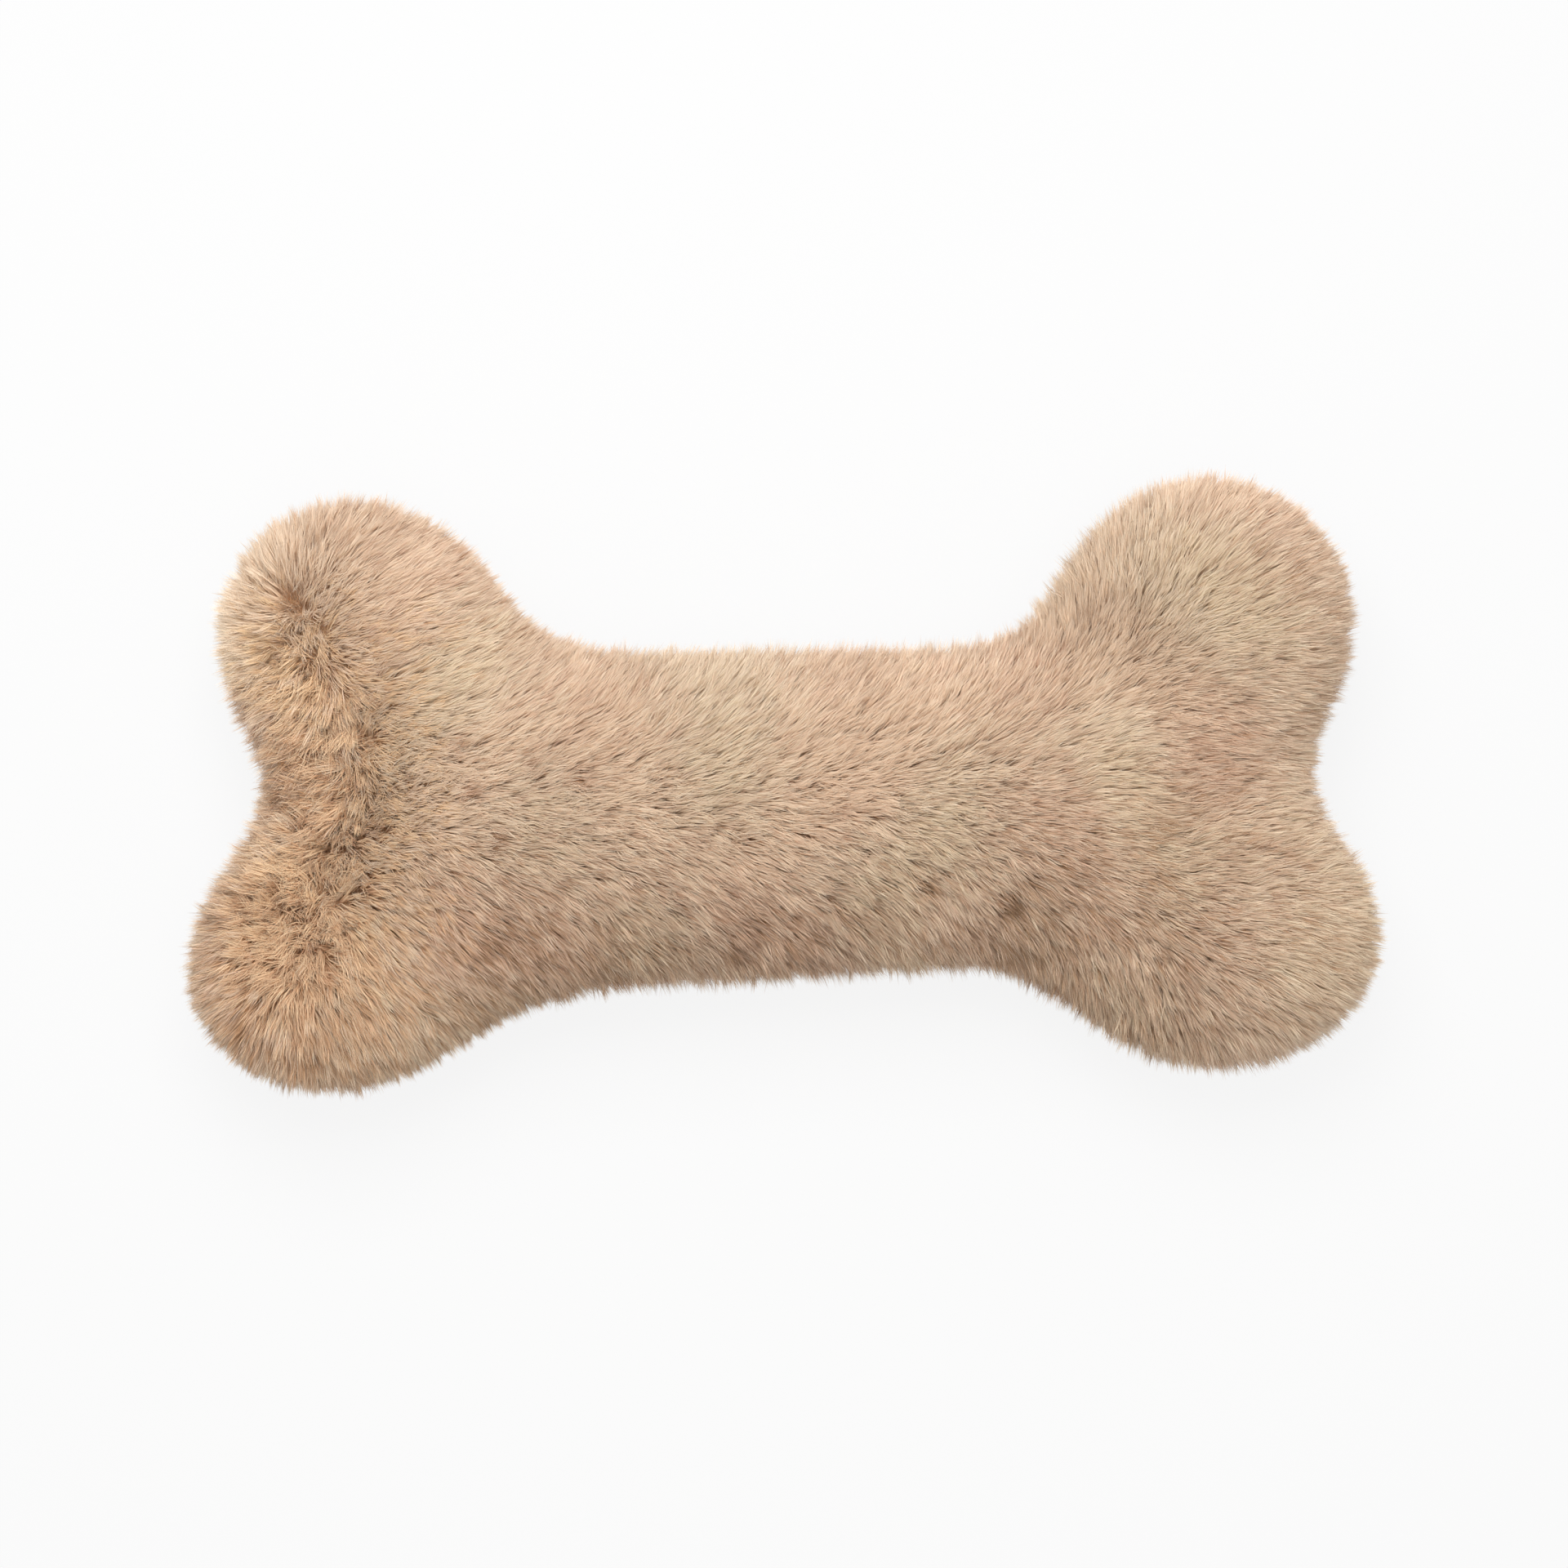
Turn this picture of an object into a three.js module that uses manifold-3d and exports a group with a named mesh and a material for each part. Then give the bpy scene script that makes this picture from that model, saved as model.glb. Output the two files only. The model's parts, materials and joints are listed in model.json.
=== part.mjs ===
// A plush bone for a dog, 280 mm long. Two bone-shaped panels of long-pile plush are sewn
// together round the edge, turned right side out, packed with polyester fibre round a
// squeaker in the middle of the shaft, and closed with a hand stitch.
// Millimetres, +Z up. The bone lies on its back panel, with its length along X.

import * as THREE from 'three';
import { mergeVertices } from 'three/addons/utils/BufferGeometryUtils.js';
import Module from 'manifold-3d';

const wasm = await Module();
wasm.setup();

// Knuckles, as places and half sizes over the pile, from the middle of the seam plane
const LEFT_UPPER_X = -97.9;
const LEFT_UPPER_Y = 38.8;
const LEFT_UPPER_HALF_LENGTH = 31.1;
const LEFT_UPPER_HALF_WIDTH = 30.8;
const LEFT_LOWER_X = -106.9;
const LEFT_LOWER_Y = -38.7;
const LEFT_LOWER_HALF_LENGTH = 31.3;
const LEFT_LOWER_HALF_WIDTH = 29;
const RIGHT_UPPER_X = 100.8;
const RIGHT_UPPER_Y = 34.2;
const RIGHT_UPPER_HALF_LENGTH = 34.2;
const RIGHT_UPPER_HALF_WIDTH = 34.6;
const RIGHT_LOWER_X = 102.2;
const RIGHT_LOWER_Y = -38.8;
const RIGHT_LOWER_HALF_LENGTH = 36.7;
const RIGHT_LOWER_HALF_WIDTH = 31.1;
const KNUCKLE_HALF_THICKNESS = 31;

// Shaft, as a swelling bar between two end points
const SHAFT_LEFT_X = -65.3;
const SHAFT_LEFT_Y = -7.5;
const SHAFT_LEFT_HALF_WIDTH = 39.9;
const SHAFT_RIGHT_X = 50.9;
const SHAFT_RIGHT_Y = -6.8;
const SHAFT_RIGHT_HALF_WIDTH = 34.6;
const SHAFT_MIDDLE_HALF_WIDTH = 39.1;
const SHAFT_END_HALF_THICKNESS = 34.5;
const SHAFT_MIDDLE_HALF_THICKNESS = 33;

// How softly the stuffed forms run into each other, and how the back settles on a floor
const BLEND_SHARE = 0.365;
const BACK_DEPTH = 30;
const BACK_BLEND_SHARE = 0.06;
const REST_CUT = 0.5;

// Plush, its turned-in seam allowance and the thread in the seam
const PLUSH_THICKNESS = 7;
const ALLOWANCE_WIDTH = 7;
const ALLOWANCE_THICKNESS = 1.5;
const SEAM_GAP = 0.3;
const SEAM_FROM_EDGE = 8.6;
const THREAD_RADIUS = 0.4;
const CLOSING_LENGTH = 72;
const LADDER_HALF_WIDTH = 2.2;
const LADDER_PITCH = 5;

// Fibre filling
const FILLING_GAP = 0.4;

// Squeaker, a round moulded air cell with a corrugated wall
const SQUEAKER_RADIUS = 20;
const SQUEAKER_WALL = 1.2;
const SQUEAKER_EDGE = 1.4;
const BASE_HEIGHT = 6;
const BELLOWS_HEIGHT = 14;
const BELLOWS_WALL = 1;
const BELLOWS_FOLD_DEPTH = 3.2;
const BELLOWS_FOLDS = 3;
const TOP_HEIGHT = 5.4;
const TOP_CROWN = 1.6;
const SEAT_GAP = 0.3;

// Whistle in the base of the squeaker
const WHISTLE_BORE_RADIUS = 4.2;
const WHISTLE_WALL = 1.2;
const WHISTLE_LENGTH = 13;
const WHISTLE_FLANGE_REACH = 2.2;
const WHISTLE_FLANGE_THICKNESS = 1.4;
const WHISTLE_BARB_REACH = 0.6;
const WHISTLE_BARB_HEIGHT = 1.2;
const WHISTLE_LIP_REACH = 1.4;
const WHISTLE_LIP_THICKNESS = 1;
const HOLDER_FOOT_THICKNESS = 1.2;
const CHANNEL_WIDTH = 2.4;
const CHANNEL_DEPTH = 1.8;
const CHANNEL_END_WALL = 3;
const TONGUE_WIDTH = 3.6;
const TONGUE_THICKNESS = 0.35;
const WEDGE_WIDTH = 4;
const WEDGE_HEIGHT = 2.4;
const WEDGE_THICKNESS = 2.2;

// Directions in which the surface is walked round, from each end's outward axis
const KNUCKLE_INNER_ANGLE = THREE.MathUtils.degToRad(12);
const KNUCKLE_OUTER_ANGLE = THREE.MathUtils.degToRad(137);
const FORK_ANGLE = THREE.MathUtils.degToRad(107);
const SHAFT_ANGLE = THREE.MathUtils.degToRad(90);
const FORK_SHARE = 0.4;

// Counts
const FORK_STEPS = 5;
const TURN_STEPS = 11;
const SHOULDER_STEPS = 4;
const CLOSING_STEPS = 3;
const OUTER_RINGS = 7;
const INNER_RINGS = 5;
const LATHE_SEGMENTS = 24;
const WHISTLE_SEGMENTS = 20;
const FOLD_STEPS = 4;
const CROWN_STEPS = 3;
const THREAD_SIDES = 6;
const LADDER_STEPS = 4;
const HALVINGS = 40;
const MARCH_STEPS = 80;

// Small amounts for the search of the surface, and the overrun of a cutting tool
const PROBE = 0.01;
const OVERRUN = 5;

const materials = {
  plush: new THREE.MeshStandardMaterial({ color: 0xc9ae94, roughness: 0.95, metalness: 0 }),
  thread: new THREE.MeshStandardMaterial({ color: 0xb79a7d, roughness: 0.8, metalness: 0 }),
  fibre: new THREE.MeshStandardMaterial({ color: 0xf1eee8, roughness: 1, metalness: 0 }),
  shell: new THREE.MeshStandardMaterial({ color: 0xe9e6dc, roughness: 0.45, metalness: 0 }),
  whistle: new THREE.MeshStandardMaterial({ color: 0xd9dde0, roughness: 0.35, metalness: 0 }),
};

// The stuffed form, as a soft union of four knuckles and the shaft.
// Every form gives its distance as a share of its own half size, less one.

const knuckles = {
  leftUpper: {
    x: LEFT_UPPER_X, y: LEFT_UPPER_Y, halfLength: LEFT_UPPER_HALF_LENGTH, halfWidth: LEFT_UPPER_HALF_WIDTH,
  },
  leftLower: {
    x: LEFT_LOWER_X, y: LEFT_LOWER_Y, halfLength: LEFT_LOWER_HALF_LENGTH, halfWidth: LEFT_LOWER_HALF_WIDTH,
  },
  rightUpper: {
    x: RIGHT_UPPER_X, y: RIGHT_UPPER_Y, halfLength: RIGHT_UPPER_HALF_LENGTH, halfWidth: RIGHT_UPPER_HALF_WIDTH,
  },
  rightLower: {
    x: RIGHT_LOWER_X, y: RIGHT_LOWER_Y, halfLength: RIGHT_LOWER_HALF_LENGTH, halfWidth: RIGHT_LOWER_HALF_WIDTH,
  },
};
const shaftLeft = new THREE.Vector2(SHAFT_LEFT_X, SHAFT_LEFT_Y);
const shaftRight = new THREE.Vector2(SHAFT_RIGHT_X, SHAFT_RIGHT_Y);

function knuckleShare(knuckle, x, y, z) {
  return Math.hypot(
    (x - knuckle.x) / knuckle.halfLength,
    (y - knuckle.y) / knuckle.halfWidth,
    z / KNUCKLE_HALF_THICKNESS,
  ) - 1;
}

function shaftShare(x, y, z) {
  const span = shaftRight.x - shaftLeft.x;
  const along = THREE.MathUtils.clamp((x - shaftLeft.x) / span, 0, 1);
  const axis = shaftLeft.clone().lerp(shaftRight, along);
  const fromMiddle = 2 * along - 1;
  const endHalfWidth = fromMiddle < 0 ? SHAFT_LEFT_HALF_WIDTH : SHAFT_RIGHT_HALF_WIDTH;
  const swell = fromMiddle * fromMiddle;
  const halfWidth = THREE.MathUtils.lerp(SHAFT_MIDDLE_HALF_WIDTH, endHalfWidth, swell);
  const halfThickness = THREE.MathUtils.lerp(SHAFT_MIDDLE_HALF_THICKNESS, SHAFT_END_HALF_THICKNESS, swell);
  return Math.hypot((x - axis.x) / halfWidth, (y - axis.y) / halfWidth, z / halfThickness) - 1;
}

function form(x, y, z) {
  const shares = Object.values(knuckles).map((knuckle) => knuckleShare(knuckle, x, y, z));
  shares.push(shaftShare(x, y, z));
  const sum = shares.reduce((total, share) => total + Math.exp(-share / BLEND_SHARE), 0);
  const stuffed = -BLEND_SHARE * Math.log(sum);
  const settled = -z / BACK_DEPTH - 1;
  return BACK_BLEND_SHARE * Math.log(
    Math.exp(stuffed / BACK_BLEND_SHARE) + Math.exp(settled / BACK_BLEND_SHARE),
  );
}

function formNormal(point) {
  const slope = (dx, dy, dz) => form(point.x + dx, point.y + dy, point.z + dz)
    - form(point.x - dx, point.y - dy, point.z - dz);
  return new THREE.Vector3(slope(PROBE, 0, 0), slope(0, PROBE, 0), slope(0, 0, PROBE)).normalize();
}

// Distance from a point inside the form to its surface, by marching and then halving
function reachOf(start, direction, farthest) {
  const at = (distance) => form(
    start.x + direction.x * distance,
    start.y + direction.y * distance,
    start.z + direction.z * distance,
  );
  const march = farthest / MARCH_STEPS;
  let inside = 0;
  let outside = march;
  while (outside < farthest && at(outside) < 0) {
    inside = outside;
    outside += march;
  }
  for (let i = 0; i < HALVINGS; i += 1) {
    const middle = (inside + outside) / 2;
    if (at(middle) < 0) inside = middle;
    else outside = middle;
  }
  return inside;
}

// The surface is walked round the bone's skeleton: a spine along the shaft that forks to
// each pair of knuckles. A station is a point on the skeleton and a direction from it.

function forkOf(shaftEnd, upper, lower) {
  const between = new THREE.Vector2((upper.x + lower.x) / 2, (upper.y + lower.y) / 2);
  return shaftEnd.clone().lerp(between, FORK_SHARE);
}
const leftFork = forkOf(shaftLeft, knuckles.leftUpper, knuckles.leftLower);
const rightFork = forkOf(shaftRight, knuckles.rightUpper, knuckles.rightLower);
const spineMiddle = leftFork.clone().lerp(rightFork, 0.5);

// Stations of one quarter, from the notch between two knuckles to the middle of the shaft.
// The last leg spans half of the stretch that is closed by hand on the lower edge.
function quarter(fork, knuckle, endSign, sideSign) {
  const knob = new THREE.Vector2(knuckle.x, knuckle.y);
  const shoulder = spineMiddle.clone().setX(spineMiddle.x + (endSign * CLOSING_LENGTH) / 2);
  const legs = [
    [fork, knob, 0, KNUCKLE_INNER_ANGLE, FORK_STEPS],
    [knob, knob, KNUCKLE_INNER_ANGLE, KNUCKLE_OUTER_ANGLE, TURN_STEPS],
    [knob, fork, KNUCKLE_OUTER_ANGLE, FORK_ANGLE, FORK_STEPS],
    [fork, shoulder, FORK_ANGLE, SHAFT_ANGLE, SHOULDER_STEPS],
    [shoulder, spineMiddle, SHAFT_ANGLE, SHAFT_ANGLE, CLOSING_STEPS],
  ];
  const closingFrom = legs.slice(0, -1).reduce((total, leg) => total + leg[4], 0);
  const stations = [];
  for (const [from, to, startAngle, endAngle, steps] of legs) {
    for (let i = stations.length ? 1 : 0; i <= steps; i += 1) {
      const angle = THREE.MathUtils.lerp(startAngle, endAngle, i / steps);
      stations.push({
        centre: from.clone().lerp(to, i / steps),
        direction: new THREE.Vector2(endSign * Math.cos(angle), sideSign * Math.sin(angle)),
        closing: sideSign < 0 && stations.length >= closingFrom,
      });
    }
  }
  return stations;
}

function walkRound() {
  const rightUpper = quarter(rightFork, knuckles.rightUpper, 1, 1);
  const leftUpper = quarter(leftFork, knuckles.leftUpper, -1, 1).reverse();
  const leftLower = quarter(leftFork, knuckles.leftLower, -1, -1);
  const rightLower = quarter(rightFork, knuckles.rightLower, 1, -1).reverse();
  return [rightUpper, leftUpper, leftLower, rightLower].flatMap((stations) => stations.slice(0, -1));
}

const farthest = shaftLeft.distanceTo(shaftRight);
const up = new THREE.Vector3(0, 0, 1);
const stations = walkRound().map(({ centre, direction, closing }) => {
  const start = new THREE.Vector3(centre.x, centre.y, 0);
  const outward = new THREE.Vector3(direction.x, direction.y, 0);
  const edge = start.clone().addScaledVector(outward, reachOf(start, outward, farthest));
  return { start, edge, closing, normal: formNormal(edge).setZ(0).normalize() };
});

// One ring of surface points: turn 0 is the seam's edge and a quarter turn is the skeleton
function surfaceRing(side, turn) {
  return stations.map(({ start, edge, normal }) => {
    const point = start.clone().lerp(edge, Math.cos(turn));
    if (turn === 0) return { point, normal };
    const vertical = up.clone().multiplyScalar(side);
    point.addScaledVector(vertical, reachOf(point, vertical, farthest));
    return { point, normal: formNormal(point) };
  });
}

function surfaceRings(side, rings) {
  return Array.from({ length: rings + 1 }, (_, i) => surfaceRing(side, (Math.PI / 2) * (i / rings)));
}

const sets = {
  frontOuter: surfaceRings(1, OUTER_RINGS),
  frontInner: surfaceRings(1, INNER_RINGS),
  backOuter: surfaceRings(-1, OUTER_RINGS),
  backInner: surfaceRings(-1, INNER_RINGS),
};

// A surface sunk by a depth below the pile, as rings from the seam's edge to the skeleton,
// whose first ring lies at a height of its own beside the seam plane
function sunk(rings, depth, firstHeight) {
  return rings.map((ring, i) => ring.map(({ point, normal }) => {
    const moved = point.clone().addScaledVector(normal, -depth);
    return i === 0 ? moved.setZ(firstHeight) : moved;
  }));
}

// A flat ring beside the seam plane, a given way in from the edge of each station
function flatRing(insetAt, height) {
  return stations.map((station) => {
    const inset = typeof insetAt === 'function' ? insetAt(station) : insetAt;
    return station.edge.clone().addScaledVector(station.normal, -inset).setZ(height);
  });
}

// Closed body from rings of points, one set from a skeleton out to the edge and one set
// back to a skeleton. Both are cut into triangles alike, so sunk surfaces stay parallel.
function bridged(outward, inward) {
  const corners = [];
  const strip = (inner, outer, flipped) => {
    inner.forEach((point, i) => {
      const next = (i + 1) % inner.length;
      const pair = [[point, outer[i], outer[next]], [point, outer[next], inner[next]]];
      pair.forEach(([a, b, c]) => corners.push(a, ...(flipped ? [c, b] : [b, c])));
    });
  };
  for (let r = 0; r + 1 < outward.length; r += 1) strip(outward[r], outward[r + 1], false);
  strip(outward[outward.length - 1], inward[0], false);
  for (let r = 0; r + 1 < inward.length; r += 1) strip(inward[r + 1], inward[r], true);
  return closed(new THREE.BufferGeometry().setFromPoints(corners));
}

// The same surface with shared vertices, no flat slivers and its faces pointing out
function closed(source) {
  const bare = new THREE.BufferGeometry();
  bare.setAttribute('position', source.getAttribute('position').clone());
  const order = source.index ?? { count: bare.getAttribute('position').count, getX: (i) => i };
  bare.setIndex(Array.from({ length: order.count }, (_, i) => order.getX(i)));
  const merged = mergeVertices(bare, PROBE * PROBE);
  const old = merged.index.array;
  const kept = [];
  for (let i = 0; i < old.length; i += 3) {
    const [a, b, c] = [old[i], old[i + 1], old[i + 2]];
    if (a !== b && b !== c && c !== a) kept.push(a, b, c);
  }
  merged.setIndex(kept);
  if (volumeOf(merged) < 0) merged.setIndex(kept.reverse());
  return merged;
}

function volumeOf(geometry) {
  const position = geometry.getAttribute('position');
  const index = geometry.index.array;
  const [a, b, c] = [new THREE.Vector3(), new THREE.Vector3(), new THREE.Vector3()];
  let sum = 0;
  for (let i = 0; i < index.length; i += 3) {
    a.fromBufferAttribute(position, index[i]);
    b.fromBufferAttribute(position, index[i + 1]);
    c.fromBufferAttribute(position, index[i + 2]);
    sum += a.dot(b.cross(c));
  }
  return sum / 6;
}

function toSolid(geometry) {
  const whole = closed(geometry);
  return new wasm.Manifold(new wasm.Mesh({
    numProp: 3,
    vertProperties: new Float32Array(whole.getAttribute('position').array),
    triVerts: new Uint32Array(whole.index.array),
  }));
}

function fromSolid(solid) {
  const { vertProperties, triVerts, numProp } = solid.getMesh();
  const geometry = new THREE.BufferGeometry();
  const positions = [];
  for (let i = 0; i < vertProperties.length; i += numProp) {
    positions.push(vertProperties[i], vertProperties[i + 1], vertProperties[i + 2]);
  }
  geometry.setAttribute('position', new THREE.Float32BufferAttribute(positions, 3));
  geometry.setIndex(Array.from(triVerts));
  return closed(geometry);
}

// Solid box between two corners
function blockOf(low, high) {
  const size = high.clone().sub(low);
  const middle = low.clone().add(high).multiplyScalar(0.5);
  const block = new THREE.BoxGeometry(size.x, size.y, size.z);
  return toSolid(block.translate(middle.x, middle.y, middle.z));
}

// Solid cylinder along Z between two heights
function rodOf(radius, low, high, segments) {
  const rod = new THREE.CylinderGeometry(radius, radius, high - low, segments).rotateX(Math.PI / 2);
  return toSolid(rod.translate(0, 0, (low + high) / 2));
}

// Panels. Each is a moulded-looking dome of plush with its edge turned in as an allowance,
// and a groove for the thread in the face that meets the other panel.

const edgeHeight = SEAM_GAP / 2;
const allowanceTop = edgeHeight + ALLOWANCE_THICKNESS;
const allowanceInset = PLUSH_THICKNESS + ALLOWANCE_WIDTH;
const grooveHalfWidth = THREAD_RADIUS + SEAT_GAP;
const grooveHeight = THREAD_RADIUS + SEAT_GAP;
const ladderGrooveHalfWidth = LADDER_HALF_WIDTH + grooveHalfWidth;

// The groove is wide where the hand stitch steps to and fro, and narrow elsewhere
function grooveHalfWidthAt(station) {
  return station.closing ? ladderGrooveHalfWidth : grooveHalfWidth;
}

function grooveTopHalfWidthAt(station) {
  return grooveHalfWidthAt(station) - grooveHalfWidth / 2;
}

function panel(side, outerRings, innerRings) {
  const height = side * edgeHeight;
  const outer = sunk(outerRings, 0, height).reverse();
  const seamFace = [
    flatRing((station) => SEAM_FROM_EDGE - grooveHalfWidthAt(station), height),
    flatRing((station) => SEAM_FROM_EDGE - grooveTopHalfWidthAt(station), side * grooveHeight),
    flatRing((station) => SEAM_FROM_EDGE + grooveTopHalfWidthAt(station), side * grooveHeight),
    flatRing((station) => SEAM_FROM_EDGE + grooveHalfWidthAt(station), height),
    flatRing(allowanceInset, height),
    flatRing(allowanceInset, side * allowanceTop),
  ];
  const inner = sunk(innerRings, PLUSH_THICKNESS, side * allowanceTop);
  return bridged([...outer, ...seamFace], inner);
}

const frontPanel = panel(1, sets.frontOuter, sets.frontInner);

const outlineBox = new THREE.Box3().setFromPoints(stations.map((station) => station.edge));
const lowest = Math.min(...sets.backOuter.flat().map(({ point }) => point.z));
const restHeight = lowest + REST_CUT;

// The back lies flat where the weight of the stuffed bone presses it on a floor
function backPanelOf() {
  const whole = toSolid(panel(-1, sets.backOuter, sets.backInner));
  const below = blockOf(
    outlineBox.min.clone().setZ(lowest).subScalar(OVERRUN),
    outlineBox.max.clone().setZ(restHeight).add(new THREE.Vector3(OVERRUN, OVERRUN, 0)),
  );
  return fromSolid(whole.subtract(below));
}

// Threads

// Machine seam: one thread in its groove all round, but for the stretch left for stuffing
function seamThread() {
  const lastClosing = stations.findLastIndex((station) => station.closing);
  const count = stations.filter((station) => !station.closing).length;
  const rings = Array.from({ length: count }, (_, k) => {
    const { edge, normal } = stations[(lastClosing + 1 + k) % stations.length];
    const middle = edge.clone().addScaledVector(normal, -SEAM_FROM_EDGE).setZ(0);
    return Array.from({ length: THREAD_SIDES }, (__, s) => {
      const angle = (2 * Math.PI * s) / THREAD_SIDES;
      return middle.clone()
        .addScaledVector(normal, THREAD_RADIUS * Math.cos(angle))
        .addScaledVector(up, THREAD_RADIUS * Math.sin(angle));
    });
  });
  return capped(rings);
}

// Closed body from a row of small rings, with a fan over each end
function capped(rings) {
  const sides = rings[0].length;
  const positions = rings.flat().flatMap((point) => [point.x, point.y, point.z]);
  const index = [];
  for (let r = 0; r + 1 < rings.length; r += 1) {
    for (let s = 0; s < sides; s += 1) {
      const next = (s + 1) % sides;
      const here = r * sides;
      const there = here + sides;
      index.push(here + s, there + s, there + next, here + s, there + next, here + next);
    }
  }
  const last = (rings.length - 1) * sides;
  for (let s = 1; s + 1 < sides; s += 1) {
    index.push(0, s, s + 1, last, last + s + 1, last + s);
  }
  const geometry = new THREE.BufferGeometry();
  geometry.setAttribute('position', new THREE.Float32BufferAttribute(positions, 3));
  geometry.setIndex(index);
  return closed(geometry);
}

// Hand stitch: a ladder of steps to and fro between the two turned edges
function closingStitch() {
  const lowerEdge = stations.filter((station) => station.closing);
  const rail = new THREE.CatmullRomCurve3(lowerEdge.map(({ edge }) => edge.clone().setZ(0)));
  const railNormals = new THREE.CatmullRomCurve3(lowerEdge.map(({ normal }) => normal));
  const rungs = Math.max(2, Math.round(rail.getLength() / LADDER_PITCH));
  const turns = Array.from({ length: rungs + 1 }, (_, i) => {
    const along = i / rungs;
    const swing = (i % 2 ? 1 : -1) * LADDER_HALF_WIDTH;
    return rail.getPoint(along).addScaledVector(railNormals.getPoint(along), swing - SEAM_FROM_EDGE);
  });
  const section = new THREE.Shape(Array.from({ length: THREAD_SIDES }, (_, s) => {
    const angle = (2 * Math.PI * s) / THREAD_SIDES;
    return new THREE.Vector2(Math.cos(angle), Math.sin(angle)).multiplyScalar(THREAD_RADIUS);
  }));
  return closed(new THREE.ExtrudeGeometry(section, {
    steps: rungs * LADDER_STEPS,
    extrudePath: new THREE.CatmullRomCurve3(turns),
    bevelEnabled: false,
  }));
}

// Squeaker, from its base up, with its axis on Z and its lowest face at zero

const squeakerHeight = BASE_HEIGHT + BELLOWS_HEIGHT + TOP_HEIGHT + 2 * SEAT_GAP;
const whistleRadius = WHISTLE_BORE_RADIUS + WHISTLE_WALL;
const whistleFlangeRadius = whistleRadius + WHISTLE_FLANGE_REACH;
const whistleRecess = WHISTLE_FLANGE_THICKNESS + SEAT_GAP;
const rimInnerRadius = SQUEAKER_RADIUS - BELLOWS_FOLD_DEPTH - BELLOWS_WALL - SQUEAKER_WALL;

function lathe(profile, segments) {
  const points = profile.map(([radius, height]) => new THREE.Vector2(radius, height));
  return closed(new THREE.LatheGeometry(points, segments).rotateX(Math.PI / 2));
}

function ringLathe(profile, segments) {
  return lathe([...profile, profile[0]], segments);
}

function squeakerBase() {
  const holeRadius = whistleRadius + SEAT_GAP;
  const recessRadius = whistleFlangeRadius + SEAT_GAP;
  return ringLathe([
    [holeRadius, whistleRecess],
    [recessRadius, whistleRecess],
    [recessRadius, 0],
    [SQUEAKER_RADIUS - SQUEAKER_EDGE, 0],
    [SQUEAKER_RADIUS, SQUEAKER_EDGE],
    [SQUEAKER_RADIUS, BASE_HEIGHT],
    [rimInnerRadius, BASE_HEIGHT],
    [rimInnerRadius, SQUEAKER_WALL],
    [recessRadius + SQUEAKER_WALL, SQUEAKER_WALL],
    [recessRadius + SQUEAKER_WALL, whistleRecess + SQUEAKER_WALL],
    [holeRadius, whistleRecess + SQUEAKER_WALL],
  ], LATHE_SEGMENTS);
}

function squeakerBellows() {
  const low = BASE_HEIGHT + SEAT_GAP;
  const steps = BELLOWS_FOLDS * FOLD_STEPS;
  const middleRadius = SQUEAKER_RADIUS - (BELLOWS_WALL + BELLOWS_FOLD_DEPTH) / 2;
  const wall = (offset) => Array.from({ length: steps + 1 }, (_, i) => {
    const wave = Math.cos((2 * Math.PI * i) / FOLD_STEPS);
    const radius = middleRadius - (wave * BELLOWS_FOLD_DEPTH) / 2 + offset;
    return [radius, low + (BELLOWS_HEIGHT * i) / steps];
  });
  return ringLathe([...wall(BELLOWS_WALL / 2), ...wall(-BELLOWS_WALL / 2).reverse()], LATHE_SEGMENTS);
}

function squeakerTop() {
  const low = BASE_HEIGHT + BELLOWS_HEIGHT + 2 * SEAT_GAP;
  const crownRadius = SQUEAKER_RADIUS - SQUEAKER_EDGE;
  const shoulder = TOP_HEIGHT - TOP_CROWN;
  const crown = Array.from({ length: CROWN_STEPS + 1 }, (_, i) => {
    const share = i / CROWN_STEPS;
    return [crownRadius * share, low + TOP_HEIGHT - TOP_CROWN * share * share];
  });
  return lathe([
    ...crown,
    [SQUEAKER_RADIUS, low + shoulder - SQUEAKER_EDGE],
    [SQUEAKER_RADIUS, low],
    [rimInnerRadius, low],
    [rimInnerRadius, low + shoulder - SQUEAKER_WALL],
    [0, low + TOP_HEIGHT - SQUEAKER_WALL],
  ], LATHE_SEGMENTS);
}

// Whistle, pushed up through the hole in the base until its barb snaps over the plate

const holderLow = WHISTLE_LIP_THICKNESS + SEAT_GAP;
const holderRadius = WHISTLE_BORE_RADIUS - SEAT_GAP;
const footTop = holderLow + HOLDER_FOOT_THICKNESS;
const tongueBack = SEAT_GAP;
const tongueFront = tongueBack + TONGUE_THICKNESS;
const wedgeLow = WHISTLE_LENGTH - WEDGE_HEIGHT;

function whistleHousing() {
  const barbHeight = whistleRecess + SQUEAKER_WALL + SEAT_GAP;
  const mouthRadius = WHISTLE_BORE_RADIUS - WHISTLE_LIP_REACH;
  return ringLathe([
    [mouthRadius, 0],
    [whistleFlangeRadius, 0],
    [whistleFlangeRadius, WHISTLE_FLANGE_THICKNESS],
    [whistleRadius, WHISTLE_FLANGE_THICKNESS],
    [whistleRadius, barbHeight],
    [whistleRadius + WHISTLE_BARB_REACH, barbHeight],
    [whistleRadius, barbHeight + WHISTLE_BARB_HEIGHT],
    [whistleRadius, WHISTLE_LENGTH],
    [WHISTLE_BORE_RADIUS, WHISTLE_LENGTH],
    [WHISTLE_BORE_RADIUS, WHISTLE_LIP_THICKNESS],
    [mouthRadius, WHISTLE_LIP_THICKNESS],
  ], WHISTLE_SEGMENTS);
}

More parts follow.
